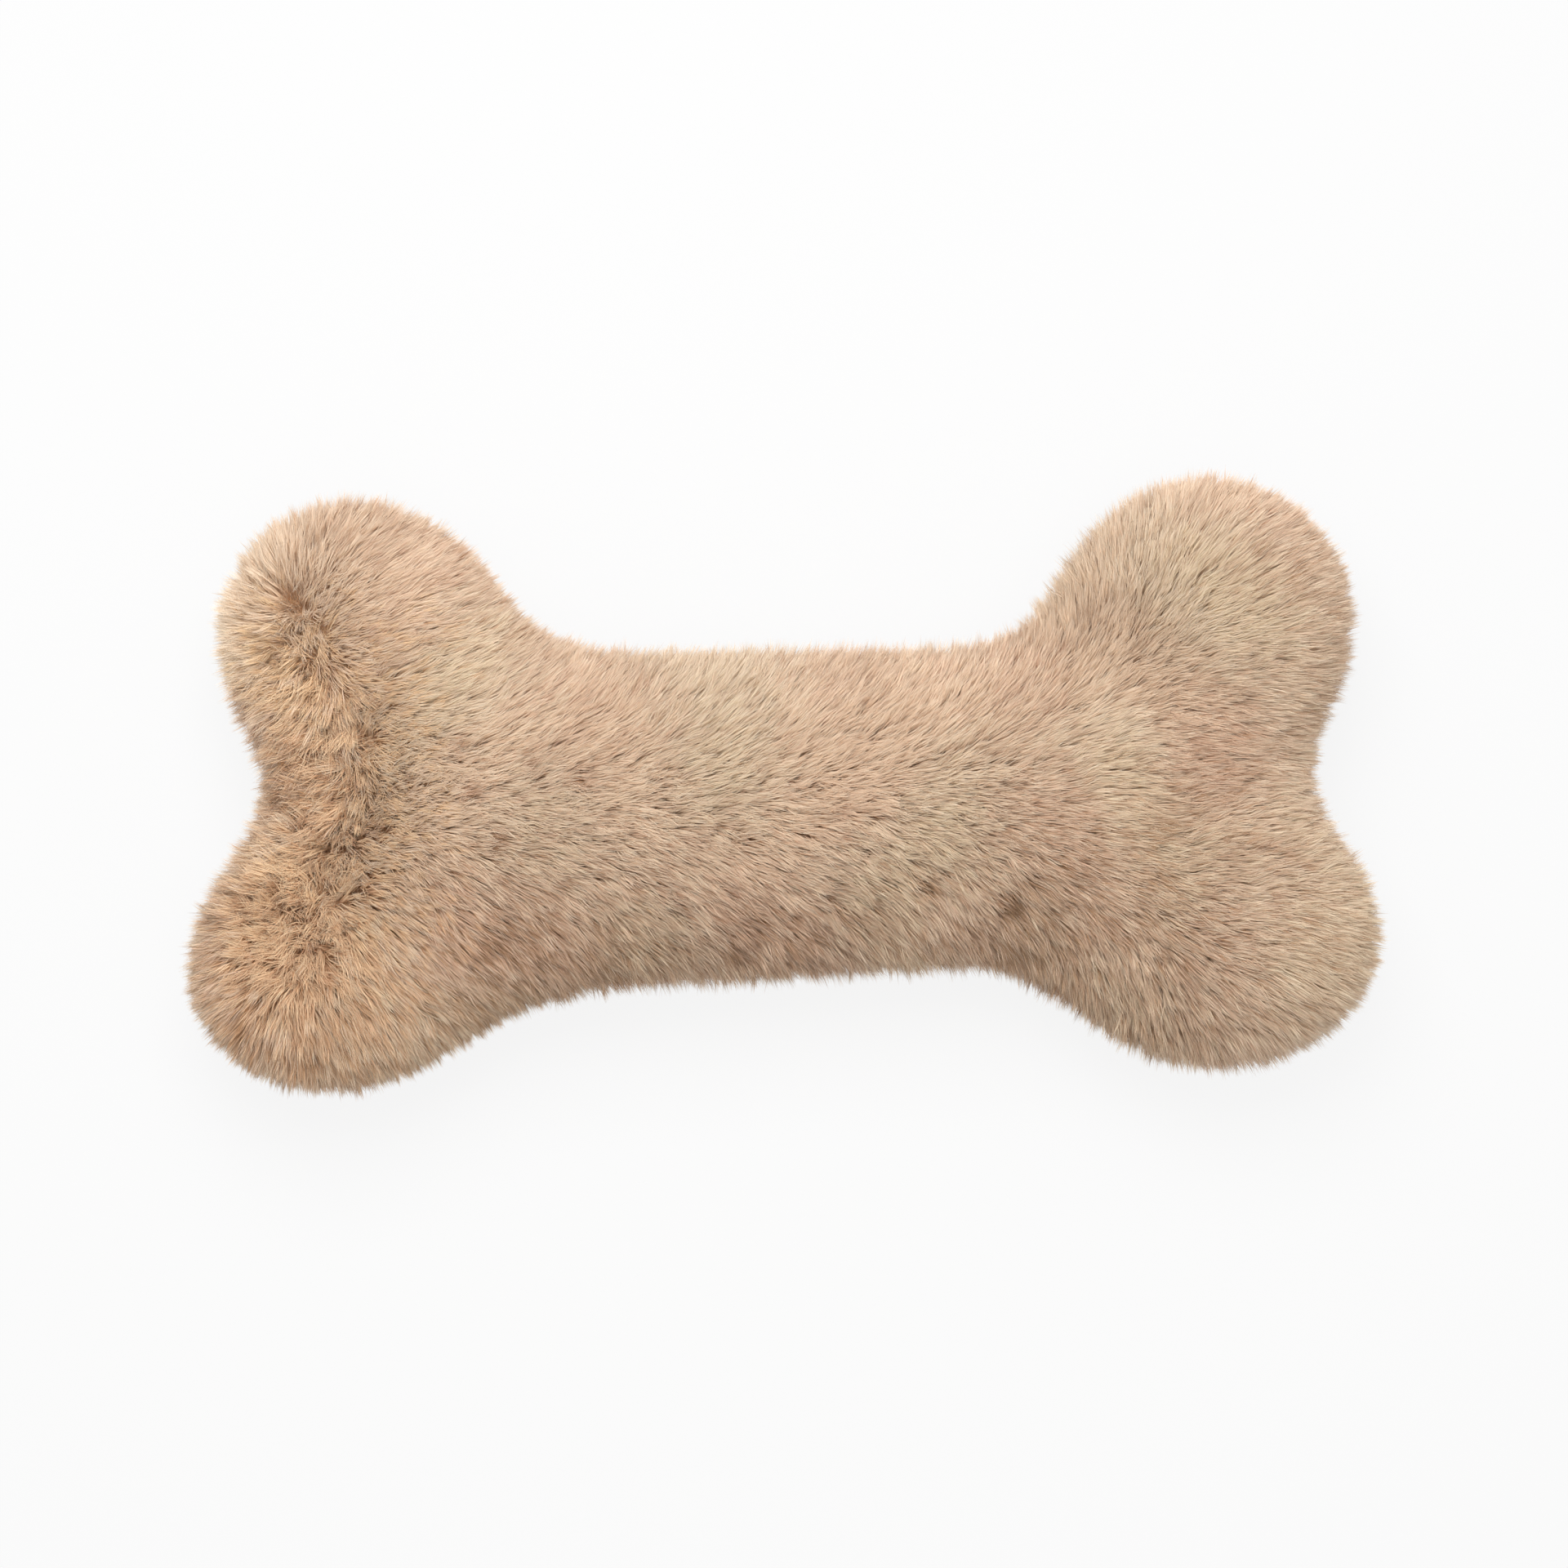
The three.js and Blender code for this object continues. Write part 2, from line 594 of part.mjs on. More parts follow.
// Half-round holder on a full round foot, with an air channel down its flat face
function reedHolder() {
  const body = rodOf(holderRadius, holderLow, WHISTLE_LENGTH, WHISTLE_SEGMENTS);
  const openHalf = blockOf(
    new THREE.Vector3(0, -holderRadius - OVERRUN, footTop),
    new THREE.Vector3(holderRadius + OVERRUN, holderRadius + OVERRUN, WHISTLE_LENGTH + OVERRUN),
  );
  const channel = blockOf(
    new THREE.Vector3(-CHANNEL_DEPTH, -CHANNEL_WIDTH / 2, holderLow - OVERRUN),
    new THREE.Vector3(PROBE, CHANNEL_WIDTH / 2, WHISTLE_LENGTH - CHANNEL_END_WALL),
  );
  return fromSolid(body.subtract(openHalf).subtract(channel));
}

function reedTongue() {
  return fromSolid(blockOf(
    new THREE.Vector3(tongueBack, -TONGUE_WIDTH / 2, footTop + SEAT_GAP),
    new THREE.Vector3(tongueFront, TONGUE_WIDTH / 2, WHISTLE_LENGTH),
  ));
}

function reedWedge() {
  const back = tongueFront + SEAT_GAP;
  return fromSolid(blockOf(
    new THREE.Vector3(back, -WEDGE_WIDTH / 2, wedgeLow),
    new THREE.Vector3(back + WEDGE_THICKNESS, WEDGE_WIDTH / 2, WHISTLE_LENGTH),
  ));
}

// Filling: the whole inside of the cover, less the allowance and the squeaker's pocket,
// packed as a wad in each knuckle and two along the shaft

const squeakerLow = -squeakerHeight / 2;

function wholeFilling() {
  const depth = PLUSH_THICKNESS + FILLING_GAP;
  const slot = allowanceTop + FILLING_GAP;
  const slotInset = allowanceInset + FILLING_GAP;
  const front = [...sunk(sets.frontInner, depth, slot).reverse(), flatRing(slotInset, slot)];
  const back = [flatRing(slotInset, -slot), ...sunk(sets.backInner, depth, -slot)];
  const whole = toSolid(bridged(front, back));
  const pocketLow = squeakerLow - SEAT_GAP;
  const pocket = rodOf(SQUEAKER_RADIUS + SEAT_GAP, pocketLow, -pocketLow, LATHE_SEGMENTS);
  return whole.subtract(pocket.translate([spineMiddle.x, spineMiddle.y, 0]));
}

const filling = wholeFilling();

// A wad is the filling inside one box, kept half a gap clear of the boxes beside it
function wad(low, high) {
  const clear = FILLING_GAP / 2;
  return fromSolid(filling.intersect(blockOf(low.clone().addScalar(clear), high.clone().subScalar(clear))));
}

const reach = new THREE.Vector3(farthest * 2, farthest * 2, farthest);
const outerLow = reach.clone().negate();

function knuckleWads() {
  const [left, right] = [leftFork, rightFork];
  return {
    filling_left_upper_knuckle: wad(
      outerLow.clone().setY(left.y), reach.clone().setX(left.x)),
    filling_left_lower_knuckle: wad(
      outerLow, reach.clone().setX(left.x).setY(left.y)),
    filling_right_upper_knuckle: wad(
      outerLow.clone().setX(right.x).setY(right.y), reach),
    filling_right_lower_knuckle: wad(
      outerLow.clone().setX(right.x), reach.clone().setY(right.y)),
  };
}

function shaftWads() {
  const low = outerLow.clone().setX(leftFork.x);
  const high = reach.clone().setX(rightFork.x);
  return {
    filling_shaft_front: wad(low.clone().setZ(0), high),
    filling_shaft_back: wad(low, high.clone().setZ(0)),
  };
}

// The assembly

function named(name, geometry, material) {
  const mesh = new THREE.Mesh(geometry, material);
  mesh.geometry.computeVertexNormals();
  mesh.name = name;
  return mesh;
}

const squeaker = new THREE.Group();
squeaker.position.set(spineMiddle.x, spineMiddle.y, squeakerLow);
squeaker.add(
  named('squeaker_base', squeakerBase(), materials.shell),
  named('squeaker_bellows', squeakerBellows(), materials.shell),
  named('squeaker_top', squeakerTop(), materials.shell),
  named('whistle_housing', whistleHousing(), materials.whistle),
  named('reed_holder', reedHolder(), materials.whistle),
  named('reed_tongue', reedTongue(), materials.whistle),
  named('reed_wedge', reedWedge(), materials.whistle),
);

const bone = new THREE.Group();
bone.add(
  named('front_panel', frontPanel, materials.plush),
  named('back_panel', backPanelOf(), materials.plush),
  named('seam_thread', seamThread(), materials.thread),
  named('closing_stitch', closingStitch(), materials.thread),
  squeaker,
);
for (const [name, geometry] of Object.entries({ ...knuckleWads(), ...shaftWads() })) {
  bone.add(named(name, geometry, materials.fibre));
}

// The outline's middle stands over the origin and the flat of the back lies on Z = 0
const outlineMiddle = outlineBox.getCenter(new THREE.Vector3());
bone.position.set(-outlineMiddle.x, -outlineMiddle.y, -restHeight);

export default bone;
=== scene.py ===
"""A plush dog toy shaped like a bone: laid pile, knitted backings, threads, filling and a squeaker.

It is laid out as an add-on. Run as a script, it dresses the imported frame, and the frame gives every
piece its place.
"""

import json
import math

import bmesh
import bpy
import numpy as np
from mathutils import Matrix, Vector, noise
from mathutils.kdtree import KDTree


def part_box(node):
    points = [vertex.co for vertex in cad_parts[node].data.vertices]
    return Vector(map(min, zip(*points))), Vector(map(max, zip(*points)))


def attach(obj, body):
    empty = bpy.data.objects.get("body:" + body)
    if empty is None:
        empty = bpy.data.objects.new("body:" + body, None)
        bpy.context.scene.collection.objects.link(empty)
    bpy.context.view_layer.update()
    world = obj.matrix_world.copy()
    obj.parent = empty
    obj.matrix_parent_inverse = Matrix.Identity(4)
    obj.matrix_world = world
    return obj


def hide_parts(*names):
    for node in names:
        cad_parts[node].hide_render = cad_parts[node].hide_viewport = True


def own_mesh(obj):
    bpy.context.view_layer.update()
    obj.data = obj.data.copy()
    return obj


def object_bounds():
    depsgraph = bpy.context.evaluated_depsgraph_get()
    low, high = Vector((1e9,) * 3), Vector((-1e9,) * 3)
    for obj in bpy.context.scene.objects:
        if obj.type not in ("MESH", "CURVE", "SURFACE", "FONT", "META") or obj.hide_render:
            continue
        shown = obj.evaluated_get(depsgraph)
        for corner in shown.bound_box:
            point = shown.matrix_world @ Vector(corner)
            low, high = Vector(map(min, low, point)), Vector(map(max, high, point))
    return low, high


bl_info = {
    "name": "Plush Bone",
    "version": (1, 0, 0),
    "blender": (4, 5, 0),
    "location": "3D View > Sidebar > Plush Bone",
    "description": "Dresses a bone-shaped plush toy: pile, backings, threads, filling and squeaker",
    "category": "Object",
}

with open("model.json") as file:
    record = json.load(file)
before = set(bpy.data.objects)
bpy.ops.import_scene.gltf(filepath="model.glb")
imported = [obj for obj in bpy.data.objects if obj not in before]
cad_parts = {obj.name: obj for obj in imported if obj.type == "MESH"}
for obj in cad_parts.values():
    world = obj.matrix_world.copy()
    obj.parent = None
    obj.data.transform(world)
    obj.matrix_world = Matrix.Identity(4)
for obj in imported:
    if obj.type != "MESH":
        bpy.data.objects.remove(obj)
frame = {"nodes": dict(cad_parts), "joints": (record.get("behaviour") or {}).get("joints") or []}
CAD_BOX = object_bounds()

# Places that the frame gives

SEAM_HEIGHT = (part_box("front_panel")[0].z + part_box("back_panel")[1].z) / 2
SQUEAKER_LOW, SQUEAKER_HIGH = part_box("squeaker_bellows")
PRESS = next(joint for joint in frame["joints"] if joint["name"] == "squeaker_press")

# Names and small working values

COVER_BODY = "cover"
UPWARDS = (0, 0, 1)
FLOOR_POINT = (0, 0, 0)
WHITE = (1, 1, 1, 1)
MILLIMETRE = 0.001
TINY = 1e-9

# The strands' map; the export bakes through a map of this name, so each strand keeps its own beige

STRAND_MAP = "OFBake"

# How far apart points may lie and still be joined, and which facets count as one flat, square face

WELD = 0.00001
SEAM_WELD = 0.0005
FLAT_ENOUGH = math.radians(40)
SQUARE_ENOUGH = math.radians(60)

# The backings' gap at the seam, as a share of the cloth

SEAM_GAP_SHARE = 0.25

# A strand's rings, each a share of its length, and its width at each

STRAND_RINGS = (0.0, 0.55, 1.0)
WIDTH_SHARES = (1.0, 0.9, 0.0)
SHORTEST_SHARE = 0.6
LONGEST_SHARE = 1.25
SMALLEST_BEND = 0.02
PULL_CURVE = 1.5

# How unevenly tufts and locks lean, as shares of how unevenly they turn

TUFT_LEAN_SHARE = 0.5
LOCK_LEAN_SHARE = 0.75

# Where the pile's pieces change from the knuckles to the shaft

KNUCKLE_FROM_MIDDLE = 0.072

# How fast the nap fans out along the bone, in degrees for each millimetre off its middle line

FAN_PLACES = (-0.085, -0.03, 0.062, 0.105)
FAN_UP = (0.35, 1.35, 1.35, 0.55)
FAN_DOWN = (1.15, 0.7, 0.95, 0.5)

# The parting down the left end, from its lower whorl to its upper one

PARTING_Y = (-0.033, -0.026, -0.007, 0.008, 0.025, 0.041)
PARTING_X = (-0.113, -0.113, -0.1075, -0.103, -0.1075, -0.114)

# How far the parting's changes have already come at its own place, as shares

RUFFLE_HEAD = 0.4
PARTING_FOOT = 0.5
NAP_HEAD = 0.1

# Pinker, plain, greener and tan lots of fibre in the blend

DYE_LOTS = ((1.02, 0.978, 0.965), (1.0, 1.0, 1.0), (0.98, 0.995, 0.96), (1.04, 0.95, 0.82))
TAN_LOT = 3

# A strand's place in its lot's row of beiges, 0 dark and 1 light: its rise a metre as painted light, and
# what moves it

TONE_MIDDLE = 0.589
# Painted light: the pile lightens up the view, towards the window lamp, and darkens down it
PAINTED_LIGHT_RISE = 1.5
TONE_CLOUD = 0.1
TONE_CLOUD_SIZE = 0.022
TONE_CLOUD_SHIFT = 5.0
TUFT_TONE = 0.05
LOCK_TONE = 0.11
STRAND_TONE = 0.12
LOWER_LEFT_TONE = 0.04
# Painted light on the parting, which lightens the shade among its parted strands
PARTING_PAINTED_LIGHT = 0.12
# Painted shade of the hollows
HOLLOW_SHADE_TONE = 0.6
DARKEST = 0.03
LIGHTEST = 0.97

# Which lot a strand comes from: greener down the view, in broad clouds, and tan on the left end's crown

LOT_MIDDLE = 0.8
LOT_FALL = 14
LOT_CLOUD = 2.2
LOT_CLOUD_SIZE = 0.03
LOT_CLOUD_SHIFT = 9.0
LOT_SPREAD = 0.35
TAN_LOWER_LEFT = 0.65
TAN_RUFFLED = 0.45
TAN_HEIGHT = 0.026

# Where the lower left knuckle begins, along and across the bone, and how gently

LOWER_LEFT_X = -0.068
LOWER_LEFT_Y = 0.055
LOWER_LEFT_FADE_X = 0.034
LOWER_LEFT_FADE_Y = 0.045

# Blender's smooth noise seldom passes this

NOISE_REACH = 0.5

# The map of a strand: the margin at its root and tip, and how much its two edges differ in tone

MAP_MARGIN = 0.01
STRAND_SHADE = 0.004

# The wads' sunk face: clumps in a metre, the noise's rough detail, and how deep it goes

WAD_CLUMPS = 160
WAD_DETAIL = (1.0, 2.0, 3)
WAD_SINK_LEAST = 0.0003
WAD_SINK_MORE = 0.0012

# The lamps: a window beyond the upper edge and a broad soft light overhead

WINDOW_PLACE = (-0.05, 0.27, 0.6)
WINDOW_SIZE = 0.35
OVERHEAD_PLACE = (0.1, 0.1, 1.6)
OVERHEAD_SIZE = 1.2

# How far the floor turns white where it is only looked at

FLOOR_GLOW = 0.86

# Small spots of painted shade, as in hollows of the pile, each a place on the front

PAINTED_HOLLOW_SHADES = (
    (-0.0586, 0.0044),
    (-0.0472, 0.0025),
    (-0.0720, -0.0006),
    (-0.0665, -0.0100),
    (-0.0755, 0.0105),
    (0.0495, -0.0252),
    (0.0300, -0.0215),
    (-0.0150, -0.0330),
)
HOLLOW_SHADE_RADIUS = 0.0018

# Broad lighter and darker patches on the front, each a place, its reach and its change of tone: partly the
# fibre's own patchiness, partly painted light on the shaft's crown, on the parting and whorl and in the
# valley by the upper left knuckle, and painted shade on places that the lamps light too brightly

TONE_AND_LIGHT_PATCHES = (
    (-0.087, 0.030, 0.018, 0.22),
    (-0.085, -0.001, 0.016, 0.60),
    (-0.110, 0.044, 0.012, 0.60),
    (-0.104, 0.002, 0.012, -0.42),
    (-0.097, -0.022, 0.014, 0.16),
    (-0.067, 0.043, 0.018, -0.22),
    (-0.058, -0.038, 0.022, -0.24),
    (0.000, -0.031, 0.020, -0.14),
    (0.050, -0.028, 0.020, -0.20),
    (0.044, 0.034, 0.014, -0.26),
    (0.110, 0.046, 0.022, -0.14),
    (-0.004, -0.032, 0.022, -0.08),
    (0.080, 0.034, 0.022, 0.50),
    (0.124, -0.044, 0.022, 0.12),
    (0.092, -0.008, 0.016, -0.14),
    (-0.045, 0.002, 0.026, 0.12),
    (-0.010, -0.003, 0.026, 0.26),
    (0.034, 0.002, 0.024, 0.28),
)


def paint(red, green, blue):
    """A colour as a screen shows it, from 0 to 255, as the linear colour that a material wants."""
    shares = [value / 255 for value in (red, green, blue)]
    return [share / 12.92 if share <= 0.04045 else ((share + 0.055) / 1.055) ** 2.4 for share in shares]


def length_value(name, description, default):
    """A length in metres that a user may change."""
    return bpy.props.FloatProperty(name=name, description=description, default=default, unit="LENGTH")


def angle_value(name, description, degrees):
    """An angle that a user may change, given here in degrees."""
    return bpy.props.FloatProperty(
        name=name, description=description, default=math.radians(degrees), subtype="ANGLE"
    )


def share_value(name, description, default):
    """A share from nothing to the whole."""
    return bpy.props.FloatProperty(
        name=name, description=description, default=default, min=0, max=1, subtype="FACTOR"
    )


def colour_value(name, description, red, green, blue):
    """A colour that a user may change, given here as a screen shows it."""
    return bpy.props.FloatVectorProperty(
        name=name, description=description, default=paint(red, green, blue), subtype="COLOR", min=0, max=1
    )


class CoverSizes(bpy.types.PropertyGroup):
    """Sizes of the two sewn backings that carry the pile."""

    pile_depth: length_value("Pile depth", "From the backing's face up to the laid pile's surface", 0.007)
    cloth: length_value("Cloth", "Thickness of the knitted backing", 0.0005)
    allowance: length_value("Allowance", "Width of the edge that is turned in at the seam", 0.0065)
    smoothing: bpy.props.IntProperty(
        name="Smoothing", description="How often the cut panels' facets are halved", default=1, min=0, max=3
    )


class PileLay(bpy.types.PropertyGroup):
    """How the pile is grown, gathered and brushed."""

    strands: bpy.props.IntProperty(
        name="Strands", description="Strands in the whole pile", default=560_000, min=1000
    )
    seed: bpy.props.IntProperty(name="Seed", description="Start of the random draws", default=7)
    length: length_value("Length", "Length of a strand from root to tip", 0.0084)
    length_spread: share_value("Length spread", "How unequal the strands are", 0.24)
    width: length_value("Width", "Width of a strand at its root", 0.00021)
    lean_root: angle_value("Root lean", "How far a strand leans where it leaves the cloth", 24)
    lean_tip: angle_value("Tip lean", "How far a strand leans at its tip where the pile lies", 56)
    lean_parted: angle_value("Parted lean", "How far a tip leans where the nap has no way to run", 50)
    whorl_lift: angle_value("Whorl lift", "How much less it leans on the parting and its whorls", 34)
    roll: angle_value("Roll", "How far a strand is turned round its own length", 28)
    tuft_spacing: length_value("Tuft spacing", "Between the tufts that the pile gathers in", 0.0032)
    lock_spacing: length_value("Lock spacing", "Between the locks of strands in a tuft", 0.0008)
    tuft_pull: share_value("Tuft pull", "How far the locks of a tuft close at their tips", 0.18)
    lock_pull: share_value("Lock pull", "How far the strands of a lock close at their tips", 0.52)
    stray_tuft: angle_value("Tuft stray", "How far tufts turn from the nap", 8)
    stray_lock: angle_value("Lock stray", "How far locks turn from their tuft", 12)
    stray_strand: angle_value("Strand stray", "How far strands turn from their lock", 12)
    eddy_size: length_value("Eddy size", "Size of the slow turns in the nap", 0.018)
    eddy_turn: angle_value("Eddy turn", "How far those slow turns go", 7)
    parting_width: length_value("Parting width", "How far from the parting the pile stands up", 0.007)
    parting_reach: length_value("Parting reach", "How far right of the parting the nap takes over", 0.022)
    parting_fall: share_value("Parting fall", "How much the pile on its left runs down the view", 0.85)
    ruffle_width: length_value("Ruffle width", "Half the width of the stretch that is ruffled", 0.012)
    ruffle_stray: angle_value("Ruffle stray", "How much more the tufts stray where it is ruffled", 20)
    crossing_width: length_value("Crossing width", "How far from the parting tufts still cross it", 0.009)
    crossing_tuft: angle_value("Crossing tufts", "How far the tufts turn from the nap on the parting", 50)
    crossing_lock: angle_value("Crossing locks", "How far locks turn from their tuft on the parting", 60)
    proud_share: share_value("Proud locks", "The share of locks that stand proud of the laid pile", 0.08)
    proud_at_edge: share_value("Proud locks at the edge", "How many more stand proud on steep sides", 0.25)
    proud_lean: angle_value("Proud lean", "How much less a proud lock leans", 30)
    edge_stray: angle_value("Edge stray", "How much more unevenly the pile leans on steep sides", 14)
    lay_reach: share_value("Lay reach", "The share of the nap along the surface that lays a strand", 0.7)
    fan_middle: length_value("Fan middle", "Where across the bone the nap runs straight along it", -0.002)
    fan_most: angle_value("Fan angle", "The most that the nap fans out by", 62)
    hang: share_value("Hang", "How much the pile on the edges falls towards the floor", 0.5)
    parted_length: share_value("Parted length", "A standing strand's share of a lying one's length", 0.95)


class Finishes(bpy.types.PropertyGroup):
    """Colours of the toy's materials."""

    pile_shadow: colour_value("Pile shadow", "The darkest brown strands", 146, 113, 85)
    pile_brown: colour_value("Pile brown", "Brown strands", 198, 160, 125)
    pile_warm: colour_value("Pile warm", "Warm beige strands", 228, 197, 170)
    pile_beige: colour_value("Pile beige", "The usual strand", 236, 214, 190)
    pile_light: colour_value("Pile light", "Light strands", 245, 225, 199)
    pile_cream: colour_value("Pile cream", "The lightest strands", 252, 237, 214)
    backing: colour_value("Backing", "The knitted cloth under the pile", 206, 166, 128)
    thread: colour_value("Thread", "The sewing threads", 196, 165, 136)
    fibre: colour_value("Fibre", "The filling", 240, 238, 232)
    air_cell: colour_value("Air cell", "The squeaker's soft plastic", 232, 228, 214)
    whistle: colour_value("Whistle", "The whistle's hard plastic", 216, 222, 224)
    floor: colour_value("Floor", "The floor that the toy lies on", 222, 222, 222)


class StageSetting(bpy.types.PropertyGroup):
    """The camera, the lamps and the floor."""

    camera_height: length_value("Camera height", "From the floor to the camera", 0.892)
    camera_x: length_value("Camera X", "The camera's place along the bone", 0.0012)
    camera_y: length_value("Camera Y", "The camera's place across the bone", 0.0)
    camera_roll: angle_value("Camera roll", "How far the bone's right end is raised in the view", 1.84)
    lens: bpy.props.FloatProperty(name="Lens", description="Focal length in millimetres", default=85)
    key_power: bpy.props.FloatProperty(
        name="Key", description="Power of the window beyond the upper edge", default=2.75, unit="POWER"
    )
    fill_power: bpy.props.FloatProperty(
        name="Fill", description="Power of the soft light overhead", default=5.5, unit="POWER"
    )
    sky: bpy.props.FloatProperty(
        name="Surroundings", description="Strength of the pale surroundings", default=0.46
    )
    floor_size: length_value("Floor size", "Length of the floor's sides", 8.0)


# Wiring of materials


class Wire:
    """A node's output, on which sums are written as Python expressions."""

    def __init__(self, finish, socket):
        self.finish = finish
        self.socket = socket

    def joined(self, operation, first, second):
        """Adds the Math node for one sum."""
        return self.finish.node("ShaderNodeMath", {"operation": operation}, {0: first, 1: second})

    def __add__(self, other):
        return self.joined("ADD", self, other)

    def __radd__(self, other):
        return self.joined("ADD", other, self)

    def __rsub__(self, other):
        return self.joined("SUBTRACT", other, self)

    def __mul__(self, other):
        return self.joined("MULTIPLY", self, other)

    def __rmul__(self, other):
        return self.joined("MULTIPLY", other, self)

    def or_more(self, other):
        """Whichever of the two is larger."""
        return self.joined("MAXIMUM", self, other)


class Finish:
    """One material, or the surroundings, and the nodes that make it."""

    def __init__(self, name, kind="materials"):
        self.owner = getattr(bpy.data, kind).new(name)
        self.owner.use_nodes = True
        self.tree = self.owner.node_tree
        self.tree.nodes.clear()

    def node(self, kind, settings=None, sockets=None, output=0):
        """Adds a node: its settings first, then the values or wires of its sockets."""
        made = self.tree.nodes.new(kind)
        for name, value in (settings or {}).items():
            if name == "stops":
                self.set_stops(made.color_ramp.elements, value)
            else:
                setattr(made, name, value)
        for name, value in (sockets or {}).items():
            if isinstance(value, Wire):
                self.tree.links.new(value.socket, made.inputs[name])
            else:
                made.inputs[name].default_value = value
        return Wire(self, made.outputs[output]) if made.outputs else None

    def set_stops(self, elements, stops):
        """Gives a ramp its stops, each a place and a colour."""
        while len(elements) < len(stops):
            elements.new(0.5)
        for element, (place, colour) in zip(elements, stops):
            element.position = place
            element.color = (*colour, 1)

    def ramp(self, factor, stops):
        """A colour that runs through the stops."""
        return self.node("ShaderNodeValToRGB", {"stops": stops}, {"Fac": factor})

    def mixed(self, blend, factor, first, second):
        """Two colours mixed in one of Blender's ways."""
        return self.node(
            "ShaderNodeMix",
            {"data_type": "RGBA", "blend_type": blend},
            {0: factor, 6: first, 7: second},
            output=2,
        )

    def place(self):
        """Object coordinates, which keep still when a piece moves."""
        return self.node("ShaderNodeTexCoord", output=3)

    def clouds(self, place, scale, detail=2.0, roughness=0.5):
        """Noise of so many cells a metre."""
        return self.node(
            "ShaderNodeTexNoise",
            sockets={"Vector": place, "Scale": scale, "Detail": detail, "Roughness": roughness},
        )

    def stretched(self, place, scale):
        """Coordinates that are drawn out or pressed along the axes."""
        return self.node("ShaderNodeMapping", sockets={"Vector": place, "Scale": scale})

    def bump(self, height, depth):
        """Relief of a real depth."""
        return self.node("ShaderNodeBump", sockets={"Height": height, "Distance": depth, "Strength": 1.0})

    def looked_at(self):
        """One where a ray comes from the eye, also by gloss or through glass, and nothing elsewhere."""
        path = self.node("ShaderNodeLightPath").socket.node
        camera = Wire(self, path.outputs["Is Camera Ray"])
        glossy = Wire(self, path.outputs["Is Glossy Ray"])
        clear = Wire(self, path.outputs["Is Transmission Ray"])
        return camera.or_more(glossy).or_more(clear)

    def surface(self, **sockets):
        """The Principled surface; an underscore in a name stands for a space."""
        named = {name.replace("_", " "): value for name, value in sockets.items()}
        shader = self.node("ShaderNodeBsdfPrincipled", sockets=named)
        self.node("ShaderNodeOutputMaterial", sockets={"Surface": shader})
        return self.owner


def times(colour, factor):
    """A colour made darker or lighter."""
    return [min(1.0, part * factor) for part in colour]


def pile_finish(colours):
    """Strands: across the map each has its own beige, and up the map a painted shade at the root, where the
    pile shades itself, lightens to a slight painted highlight at the tip.
    """
    finish = Finish("plush_pile")
    map_place = finish.node("ShaderNodeUVMap", {"uv_map": STRAND_MAP})
    across = finish.node("ShaderNodeSeparateXYZ", sockets={0: map_place}, output=0)
    up = finish.node("ShaderNodeSeparateXYZ", sockets={0: map_place}, output=1)
    beiges = (
        (0.0, colours.pile_shadow),
        (0.22, colours.pile_brown),
        (0.42, colours.pile_warm),
        (0.58, colours.pile_beige),
        (0.78, colours.pile_light),
        (1.0, colours.pile_cream),
    )
    stops = [
        ((index + place) / len(DYE_LOTS), [part * tint for part, tint in zip(colour, lot)])
        for index, lot in enumerate(DYE_LOTS)
        for place, colour in beiges
    ]
    shade = finish.ramp(across, stops)
    # Painted shade down at the roots, where the pile shades itself, lightening to a painted highlight at
    # the tips
    root_shade_tip_highlight = (
        (0.0, (0.86, 0.73, 0.62)),
        (0.4, (0.88, 0.82, 0.76)),
        (0.75, (0.97, 0.95, 0.93)),
        (1.0, (1.06, 1.06, 1.06)),
    )
    colour = finish.mixed("MULTIPLY", 1.0, shade, finish.ramp(up, root_shade_tip_highlight))
    return finish.surface(
        Base_Color=colour, Roughness=0.72 - 0.12 * up, Sheen_Weight=0.14, Sheen_Roughness=0.5
    )


def backing_finish(colours):
    """Knitted cloth: rows of small loops under a haze of broken fibre."""
    finish = Finish("knitted_backing")
    place = finish.place()
    rows = finish.stretched(place, scale=(1.0, 1.6, 1.0))
    loops = finish.node("ShaderNodeTexVoronoi", {"feature": "F1"}, {"Vector": rows, "Scale": 900})
    haze = finish.clouds(place, scale=260, detail=4.0, roughness=0.6)
    colour = finish.ramp(
        loops * 0.6 + haze * 0.5,
        [(0.2, times(colours.backing, 1.1)), (0.8, times(colours.backing, 0.7))],
    )
    relief = finish.bump(1 - loops, depth=0.0003)
    return finish.surface(Base_Color=colour, Roughness=0.9, Normal=relief, Sheen_Weight=0.1)


def thread_finish(colours):
    """Twisted sewing thread."""
    finish = Finish("sewing_thread")
    place = finish.place()
    plies = finish.node(
        "ShaderNodeTexWave",
        {"wave_type": "BANDS", "bands_direction": "DIAGONAL"},
        {"Vector": place, "Scale": 420, "Distortion": 1.5},
        output=1,
    )
    colour = finish.ramp(plies, [(0.0, times(colours.thread, 0.72)), (1.0, times(colours.thread, 1.1))])
    return finish.surface(Base_Color=colour, Roughness=0.6, Normal=finish.bump(plies, depth=0.0002))


